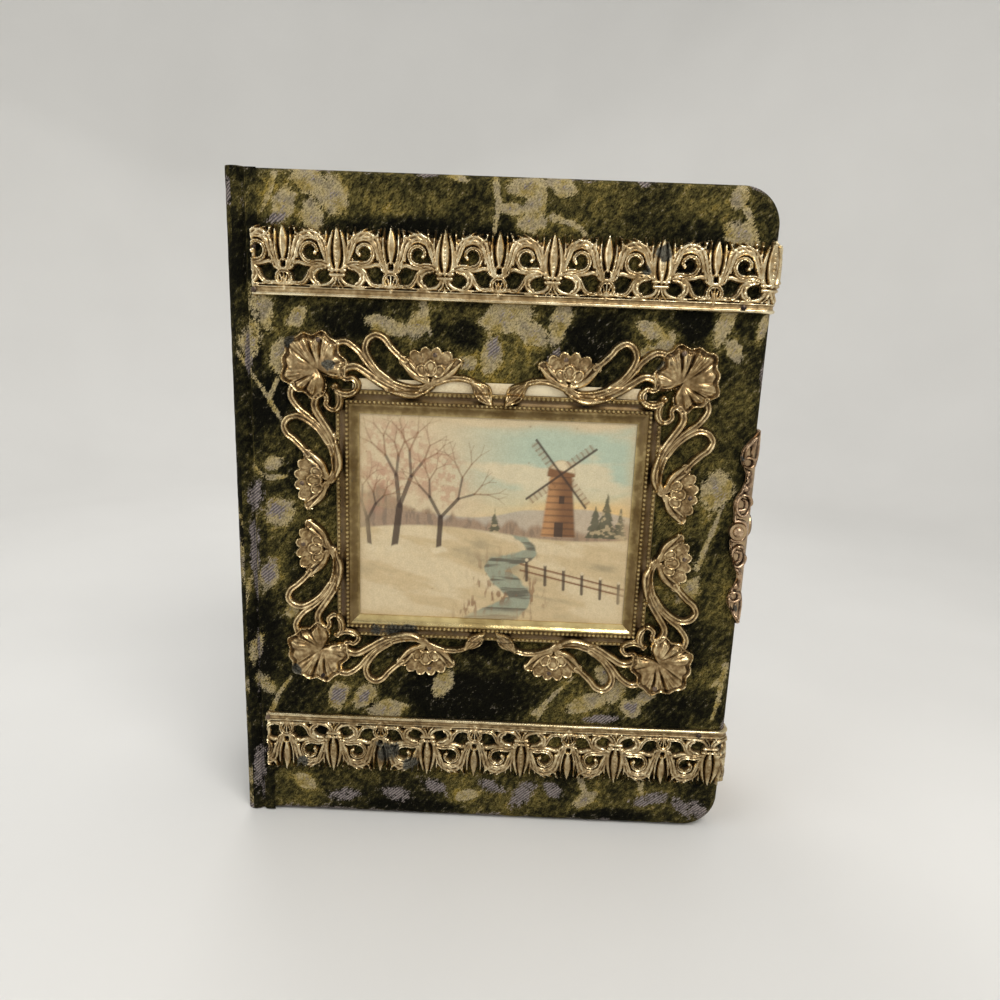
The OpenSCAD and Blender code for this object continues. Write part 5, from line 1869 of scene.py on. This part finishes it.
@dataclass
class SpineDressing(Dressing):
    """The velvet over the spine and the two joints where the covers turn."""

    figure: VelvetFigure
    bead_r: float = 4.0
    step: float = 1.3
    joint_reach: float = 4.6

    def section(self, half: float) -> Array:
        """Draws the spine in plan: two beads and flats between them.

        Args:
            half: Distance from the middle to a bead's axis.

        Returns:
            Its outline from its middle, as (x, y).
        """
        r = self.bead_r
        first = [(r * math.cos(t), -half + r * math.sin(t)) for t in np.radians(np.linspace(0, -180, 19))]
        back = [(-r, y) for y in np.linspace(-half, half, 30)[1:-1]]
        last = [(r * math.cos(t), half + r * math.sin(t)) for t in np.radians(np.linspace(180, 0, 19))]
        inner = [(r - 0.2, y) for y in np.linspace(half, -half, 30)[1:-1]]
        return np.array(first + back + last + inner)

    def build(self) -> None:
        """Makes the spine's velvet and the joint cloths."""
        album, finishes = self.album, self.finishes
        half = (album.spine_high.y - album.spine_low.y) / 2 / MM - self.bead_r
        middle = (album.spine_low + album.spine_high) / 2
        middle.z = 0
        plan = self.section(half)
        levels = np.linspace(0, album.height, round(album.height / self.step))
        n = len(plan)
        places = np.array([(x, y, z) for z in levels for x, y in plan])
        soft = 0.16 * (cloudy(places[:, 1], places[:, 2], 2.4, 401, 2) - 0.5)
        out = np.column_stack([np.sign(places[:, 0]) * (places[:, 0] < 2), 0 * soft, 0 * soft])
        places = places + out * soft[:, None]
        faces = skin(len(levels), n) + [list(range(n))[::-1], [len(places) - n + j for j in range(n)]]
        faces = [f[::-1] for f in faces]
        piece = make_piece("spine_velvet_cover", places * MM + np.array(middle), faces, 60.0)
        x, y, z = places.T
        edge = np.minimum(np.minimum(z, album.height - z), 3.2 * np.abs(np.abs(y) - half - 2.6) + 2.0)
        # Painted shade: the spine's velvet is laid 0.2 darker, with its figure dimmed.
        self.figure.lay(piece, y - 60, z, edge, True, 0.2)
        dress(piece, finishes.velvet)
        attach(piece, "spine")
        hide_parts("spine_velvet")
        dress(NODES["spine_board"], finishes.board)
        for name in ("spine_liner", "leaf_stubs"):
            dress(NODES[name], finishes.linen)
        for body, sense in (("front_cover", -1), ("back_cover", 1)):
            self.joint(middle, half, body, sense)

    def joint(self, middle: Vector, half: float, body: str, sense: int) -> None:
        """Makes the cloth that crosses one joint.

        Args:
            middle: Middle of the spine in plan.
            half: Distance from the middle to a bead's axis.
            body: The cover's body; not used.
            sense: -1 for the front joint and 1 for the back.
        """
        album, r = self.album, self.bead_r + 0.12
        start_x = album.joint - (middle.x - album.middle_x) / MM
        on_bead = [(r * math.sin(t), r * math.cos(t)) for t in np.radians(np.linspace(-14, 50, 12))]
        groove = [(start_x - 0.25, 3.25), (start_x + 0.2, 3.85), (start_x + 0.7, 4.12)]
        flat = [(x, 4.14) for x in np.linspace(start_x + 1.3, start_x + self.joint_reach, 5)]
        line = smooth_line(on_bead + groove + flat, 2)
        levels = np.linspace(0.4, album.height - 0.4, round(album.height / self.step))
        n = len(line)
        top = np.array([(x, half + y, z) for z in levels for x, y in line])
        away = np.gradient(line, axis=0)
        away = np.column_stack([-away[:, 1], away[:, 0]]) / np.linalg.norm(away, axis=1)[:, None]
        under = top - np.column_stack([np.tile(away, (len(levels), 1)) * 0.1, np.zeros(len(top))])
        places = np.vstack([top, under])
        total = len(top)
        faces = [(a, d, c, b) for a, b, c, d in skin(len(levels), n, closed=False)]
        faces += [[i + total for i in f[::-1]] for f in faces]
        rim = border(len(levels), n)
        faces += [(a, b, b + total, a + total) for a, b in zip(rim, rim[1:] + rim[:1])]
        if sense < 0:
            faces = [f[::-1] for f in faces]
        places = places * (1, sense, 1) * MM + np.array(middle)
        piece = make_piece(f"joint_cloth_{'front' if sense < 0 else 'back'}", places, faces, 70.0)
        v = places[:, 2] / MM
        u = (places[:, 0] - album.middle_x) / MM
        bare = np.abs(np.tile(np.linspace(0, 6, n), 2 * len(levels)) - 3.4) * 1.9 + 1.3
        edge = np.minimum(bare, np.minimum(v, album.height - v) + 1.0)
        # Painted shade: the joint cloth is laid 0.16 darker, with its figure dimmed.
        self.figure.lay(piece, u, v, edge, sense > 0, 0.16)
        dress(piece, self.finishes.velvet)
        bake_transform(piece)


@dataclass
class ClaspDressing(Dressing):
    """The stamped clasp plates on the fore-edge, with the button, hasp, pin and nails."""

    half: float = 41.5
    bend_r: float = 4.1
    step: float = 0.3
    button_in: float = 5.0
    boss_r: float = 3.3
    hasp_half: float = 9.6
    coils: int = 3
    wire: float = 0.13
    hasp_edge: Sequence[Point] = ((0.12, 0.82), (0.3, 0.7), (0.55, 0.55), (0.9, 0.47))
    leaves: Sequence[Spot] = ((5.2, 16.4, 1.2), (3.4, 17.6, 1.0), (3.6, 21.0, 1.1), (3.2, 24.0, 1.0))
    spots: Sequence[Spot] = ((99, 30, 1.6), (104, -33, 2.0))
    steps: Sequence[Point] = (
        (1, 0.6), (0.84, 6.8), (0.71, 7.6), (0.58, 5), (0.46, 5.4), (0.29, 8.6), (0.14, 7.8), (0, 8.6),
        (-0.19, 8.2), (-0.36, 6), (-0.48, 4), (-0.7, 7.2), (-0.82, 5.6), (-1, 0.6),
    )

    def figure(self, x: float) -> list[Stroke]:
        """Draws the plate's scrolls, necks and leaf panels.

        Args:
            x: u of the fore-edge.

        Returns:
            Its raised lines.
        """
        lines = []
        for s in (1, -1):
            turns = np.linspace(0, 6.3, 15)
            oval = [(x - 3.6 + 2.6 * math.cos(t), s * (10.8 + 4.4 * math.sin(t))) for t in turns]
            neck = [(x - 3, s * 16), (x - 1.8, s * 19.5), (x - 2.2, s * 24.5)]
            curl = [(x - 5, s * 8.6), (x - 2.8, s * 9.4), (x - 2.9, s * 12.4), (x - 4.2, s * 13.4)]
            lines += [
                Stroke(oval, 0.75, 0.75, 1.9),
                Stroke(curl, 0.9, 0.5, 1.6),
                Stroke(neck, 0.9, 0.7, 1.5, Section.CREASED, 0.6),
                Stroke(arc((x - 3.6, s * 28.4), 2.0, s * 150, s * -130, 9), 0.8, 0.6, 1.8),
                Stroke([(x - 5, s * 30.6), (x - 4.6, s * 34), (x - 0.8, s * 40.6)], 0.65, 0.45, 1.7),
                Stroke([(x - 1.2, s * 27), (x + 0.2, s * 33), (x - 0.4, s * 40.6)], 0.65, 0.45, 1.3),
            ]
        lines.append(Stroke(arc((x - self.button_in, 0), 4.2, 0, 360, 18), 0.85, 0.85, 1.8))
        return lines

    def draw(self, turn_at: float, run: float) -> Relief:
        """The plate flattened out.

        Args:
            turn_at: u where the cover's edge starts to turn.
            run: u of the plate's rim on the cover's side, measured along the sheet.

        Returns:
            The field, u across from the face to the side and v along the edge.
        """
        fore = self.album.fore
        edge = fore + 1.1
        relief = Relief((edge - 11, -self.half - 1.5), (run + 1.5, self.half + 1.5), self.step, 0.7)
        line = smooth_line([(f * self.half, reach) for f, reach in self.steps])[::-1]
        start = edge - np.interp(relief.v, line[:, 0], line[:, 1])
        within = np.minimum(relief.u - start, self.half - np.abs(relief.v))
        rim = bell(np.clip(within, 0, None), 0.6, 0.5)
        relief.raise_to(relief.whole, np.minimum(within, run - relief.u), rim + 0.25 * ease(0.8, 3, within))
        for stroke in self.figure(fore):
            relief.stroke(stroke)
        for k in range(-2, 3):
            seat = polar(5.4, 180 + 22 * k, (fore - self.button_in, 0))
            relief.petal(Petal(seat, 0.7, 0.7, 1.5))
        for s in (-1, 1):
            for inset, at, size in self.leaves:
                relief.petal(Petal((fore - inset, s * at), 1.5 * size, size, 1.5, 0.2, s * 70))
            for k in range(4):
                tip = (fore - 3.4 + 0.7 * k, s * (37.6 + 0.6 * k))
                relief.stroke(Stroke([(fore - 2.6, s * 31.6), tip], 0.4, 0.25, 1.3))
        side = turn_at + self.bend_r * math.pi / 2
        for s in (-1, 1):
            rule = [(run - 0.8, s * (self.hasp_half + 2)), (run - 0.8, s * (self.half - 1))]
            relief.stroke(Stroke(rule, 0.4, 0.4, 1.0))
            for k in range(10):
                relief.petal(Petal((side + 1.3, s * (self.hasp_half + 4 + 2.6 * k)), 1.1, 0.75, 0.9, 0.1, 90))
        relief.cover = np.minimum(relief.cover, np.minimum(relief.u - start, run - relief.u) + 0.02)
        under_hasp = ease(self.hasp_half + 2, self.hasp_half, np.abs(relief.v))
        relief.height *= 1 - 0.75 * ease(turn_at, turn_at + 4.5, relief.u) * under_hasp
        return relief

    def spring(self) -> None:
        """Makes the coil that the button presses on, drawn at rest, and gives it a mesh of its own."""
        low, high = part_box("clasp_spring")
        centre, wire = (low + high) / 2, self.wire * MM
        reach, rise = (high.x - low.x) / 2 - wire, high.y - low.y - 2 * wire
        turns = np.linspace(0, 2 * math.pi * self.coils, 24 * self.coils + 1)
        ring = [polar(wire, 45 * k) for k in range(8)]
        points = [
            (centre.x + (reach + out) * math.cos(t), high.y - wire + up - rise * t / turns[-1],
             centre.z + (reach + out) * math.sin(t))
            for t in turns for out, up in ring
        ]
        faces = skin(len(turns), 8) + [list(range(8))[::-1], list(range(len(points) - 8, len(points)))]
        piece = make_piece("button_spring_coil", points, faces)
        dress(piece, self.finishes.steel)
        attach(piece, "front_cover")
        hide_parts("clasp_spring")
        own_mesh(piece)

    def hasp(self) -> None:
        """Makes the raised border, beads and rosette on the outside of the hasp."""
        low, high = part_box("clasp_hasp")
        knuckle = (high.x - low.x) / 2
        axis, middle = high.y - knuckle, (low.z + high.z) / 2
        length, half = (axis - low.y) / MM, (high.z - low.z) / 2 / MM
        strap = [c.co.x for c in NODES["clasp_hasp"].data.vertices if c.co.y < axis - 3 * knuckle]
        relief = Relief((3.0, -half), (length, half), self.step, 0.12)
        edge = [(f * length, g * half) for f, g in self.hasp_edge]
        tip = arc((0.9 * length, 0), edge[-1][1], 75, -75, 9)
        relief.stroke(Stroke(edge + tip + [(a, -b) for a, b in edge[::-1]], 0.55, 0.55, 0.7))
        for s in (-1, 1):
            scroll = [(0.34 * length, s * 0.6), (0.24 * length, s * 3.6), (0.16 * length, s * 3.4)]
            curl = arc((0.19 * length, s * 2.2), 1.3, s * 160, s * 330, 6)
            relief.stroke(Stroke(scroll + curl, 0.6, 0.4, 0.7))
        for k in range(9):
            relief.petal(Petal(((0.4 + 0.045 * k) * length, 0), 1.1, 1.4 - 0.06 * k, 0.7))
        for k in range(6):
            relief.petal(Petal(polar(2.2, 60 * k, (0.9 * length, 0)), 1.1, 0.8, 0.6, 0.0, 60 * k))
        relief.petal(Petal((0.9 * length, 0), 1.1, 1.1, 0.9))

        def laid(points: Array) -> Array:
            """Lays the relief on the outside of the strap."""
            along, across, out = points.T * MM
            return np.column_stack([max(strap) + out, axis - along, middle + across])

        piece = relief.solid("hasp_stamping", laid, flip=True)
        paint(piece, "stain", stain(relief.outline, [], 83))
        dress(piece, self.finishes.clasp)
        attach(piece, "hasp")

    def build(self) -> None:
        """Makes both plates and dresses the small fittings."""
        album, finishes = self.album, self.finishes
        turn_at = album.fore - self.bend_r + 0.1
        run = turn_at + self.bend_r * math.pi / 2 + album.thickness - self.bend_r - 0.1
        low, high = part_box("clasp_front_plate")
        middle = (low.z + high.z) / 2 / MM
        for node, body, lay, front in (
            ("clasp_front_plate", "front_cover", album.on_front, True),
            ("clasp_back_plate", "back_cover", album.on_back, False),
        ):
            relief = self.draw(turn_at, run)
            if front:
                out = np.hypot(relief.u - album.fore + self.button_in, relief.v)
                relief.cover = np.minimum(relief.cover, out - self.boss_r)

            def bent(points: Array) -> Array:
                """Lays the plate over the cover's edge."""
                u, h = round_edge(points, self.bend_r, turn_at)
                return lay(np.column_stack([u, middle + points[:, 1], h + CLEAR]))

            piece = relief.solid(f"{node}_stamping", bent, flip=not front)
            paint(piece, "stain", stain(relief.outline, self.spots, 71))
            dress(piece, finishes.clasp)
            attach(piece, body)
        self.hasp()
        self.spring()
        dress(NODES["clasp_button"], finishes.button)
        for name in ("clasp_front_plate", "clasp_back_plate", "clasp_hasp"):
            dress(NODES[name], finishes.strap)
        dress(NODES["clasp_pin"], finishes.steel)
        for name in ("band_nails", "lily_nails", "clasp_nails", "clasp_back_nails"):
            dress(NODES[name], finishes.nail)


@dataclass
class LeafBlock(Dressing):
    """The twelve leaves with their window mats and gilt edges: every third holds four small cards a side."""

    large: Point = (98.0, 155.0)
    small: Point = (54.0, 93.0)
    spread: float = 4.4
    ivory: Colour = tone(240, 231, 210)
    yellowed: Colour = tone(226, 212, 182)

    def mats(self) -> tuple[Material, Material]:
        """Makes the paper of the pages.

        Returns:
            The paper of the pages with one window, and of those with four.
        """
        low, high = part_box("leaf_01_mats")
        middle = ((low.x + high.x) / 2 / MM, (low.z + high.z) / 2 / MM)
        off = ((high.x - low.x) / self.spread / MM, (high.z - low.z) / self.spread / MM)
        one, four = PageWindows(middle, *self.large), PageWindows(middle, *self.small, off)
        return tuple(
            PaperFinish(name, self.ivory, self.yellowed, gilt=True, windows=windows).material()
            for name, windows in (("mat_paper_finish", one), ("small_mat_paper_finish", four))
        )

    def build(self) -> None:
        """Dresses the cores and the mats."""
        large, small = self.mats()
        for name, node in NODES.items():
            if name.endswith("_mats"):
                dress(node, large if int(name.split("_")[1]) % 3 else small)
            elif name.startswith("leaf_") and name != "leaf_stubs":
                dress(node, self.finishes.leaf)


@dataclass
class Studio:
    """A pale sweep all round, soft lamps and the camera of the photograph."""

    eye: tuple[float, float, float] = (3.83, -331.57, 215.72)
    right: tuple[float, float, float] = (0.99915, 0.01743, 0.03723)
    down: tuple[float, float, float] = (0.04014, -0.21816, -0.97509)
    lens: float = 27.07
    floor_r: float = 0.75
    bowl_r: float = 0.35
    wall: float = 1.0
    sides: int = 72
    drop: float = 0.0002
    pale: Colour = tone(222, 221, 218)
    aim: tuple[float, float, float] = (0.0, 0.0, 0.13)

    def sweep(self) -> None:
        """A round floor that curves up into a wall."""
        profile = [(0.02, 0.0), (0.3, 0.0), (self.floor_r, 0.0)]
        for t in np.radians(np.linspace(10, 90, 9)):
            profile.append((self.floor_r + self.bowl_r * math.sin(t), self.bowl_r * (1 - math.cos(t))))
        profile.append((self.floor_r + self.bowl_r, self.bowl_r + self.wall))
        n = self.sides
        turns = [2 * math.pi * k / n for k in range(n)]
        points = [(r * math.cos(t), r * math.sin(t), z - self.drop) for r, z in profile for t in turns]
        faces = skin(len(profile), n) + [list(range(n))[::-1]]
        floor = make_piece("studio_sweep", np.array(points), [f[::-1] for f in faces])
        s = Sketch("studio_paper", Roughness=0.85, Specular_IOR_Level=0.2)
        shade = s.ramp(s.noise(160.0, 2.0), (0.3, tone(218, 217, 214)), (0.7, self.pale))
        dress(floor, s.finish(Base_Color=shade))

    def lamp(self, name: str, place: Sequence[float], size: float, watts: float, colour: Colour) -> None:
        """Hangs a square soft lamp that faces the album.

        Args:
            name: Name of the lamp.
            place: Where it hangs, in metres.
            size: Its width.
            watts: Its power.
            colour: Its colour.
        """
        data = bpy.data.lights.new(name, "AREA")
        data.shape, data.size, data.energy, data.color = "SQUARE", size, watts, colour
        lamp = bpy.data.objects.new(name, data)
        lamp.location = place
        lamp.rotation_euler = (Vector(self.aim) - Vector(place)).to_track_quat("-Z", "Y").to_euler()
        bpy.context.scene.collection.objects.link(lamp)

    def build(self) -> None:
        """Makes the sweep, the lamps, the camera and the world."""
        self.sweep()
        self.lamp("key_lamp", (0.35, -0.6, 0.95), 0.45, 6.0, (1.0, 0.98, 0.95))
        self.lamp("fill_lamp", (-0.75, -0.45, 0.5), 0.6, 2.0, (0.96, 0.98, 1.0))
        self.lamp("top_lamp", (0.0, 0.1, 1.15), 0.8, 3.4, (1.0, 0.99, 0.97))
        self.lamp("back_lamp", (-0.3, 0.75, 0.8), 0.5, 2.3, (1.0, 0.98, 0.96))
        world = bpy.data.worlds.new("studio_air")
        world.use_nodes = True
        background = world.node_tree.nodes["Background"]
        background.inputs["Color"].default_value = (0.9, 0.92, 0.95, 1.0)
        background.inputs["Strength"].default_value = 0.28
        scene = bpy.context.scene
        scene.world = world
        data = bpy.data.cameras.new("camera")
        data.lens, data.sensor_width = self.lens, 36.0
        data.clip_start, data.clip_end = 0.01, 20.0
        camera = bpy.data.objects.new("camera", data)
        right, down = Vector(self.right), Vector(self.down)
        back = right.cross(-down)
        turned = Matrix((right, -down, back)).transposed().to_4x4()
        camera.matrix_world = Matrix.Translation(Vector(self.eye) * MM) @ turned
        scene.collection.objects.link(camera)
        scene.camera = camera
        scene.view_settings.view_transform = "Standard"


def main() -> None:
    """Builds the album's dress piece by piece and notes how many faces each new piece has."""
    logging.basicConfig(level=logging.INFO, format="%(name)s %(message)s")
    Studio().build()
    shared = Album(), Finishes()
    figure = VelvetFigure()
    CoverDressing(*shared, "front_velvet_cover", "front_velvet", "front_cover", True, figure).build()
    CoverDressing(*shared, "back_velvet_cover", "back_velvet", "back_cover", False, figure).build()
    SpineDressing(*shared, figure).build()
    PictureCard(*shared).build()
    FrameMoulding(*shared).build()
    for band in (
        ("head_band_stamping", "head_band", True, -0.3, [(62, 247, 3.5), (56, 240, 2.0)]),
        ("tail_band_stamping", "tail_band", False, -3.8, [(-42, 33, 5.5), (-32, 27, 4.0), (-80, 26, 3.0)]),
    ):
        BandRelief(*shared, *band).build()
    for corner in (
        ("lily_corner_head_left", "lily_head_left", -1, 1, [(-10.6, 9.6, 3.2), (6.4, 0.6, 2.6)]),
        ("lily_corner_head_right", "lily_head_right", 1, 1, [(12.2, 5.0, 2.4)]),
        ("lily_corner_tail_left", "lily_tail_left", -1, -1, [(-9.5, 8.0, 2.6)]),
        ("lily_corner_tail_right", "lily_tail_right", 1, -1),
    ):
        LilyCorner(*shared, *corner).build()
    ClaspDressing(*shared).build()
    LeafBlock(*shared).build()


if __name__ == "__main__":
    main()
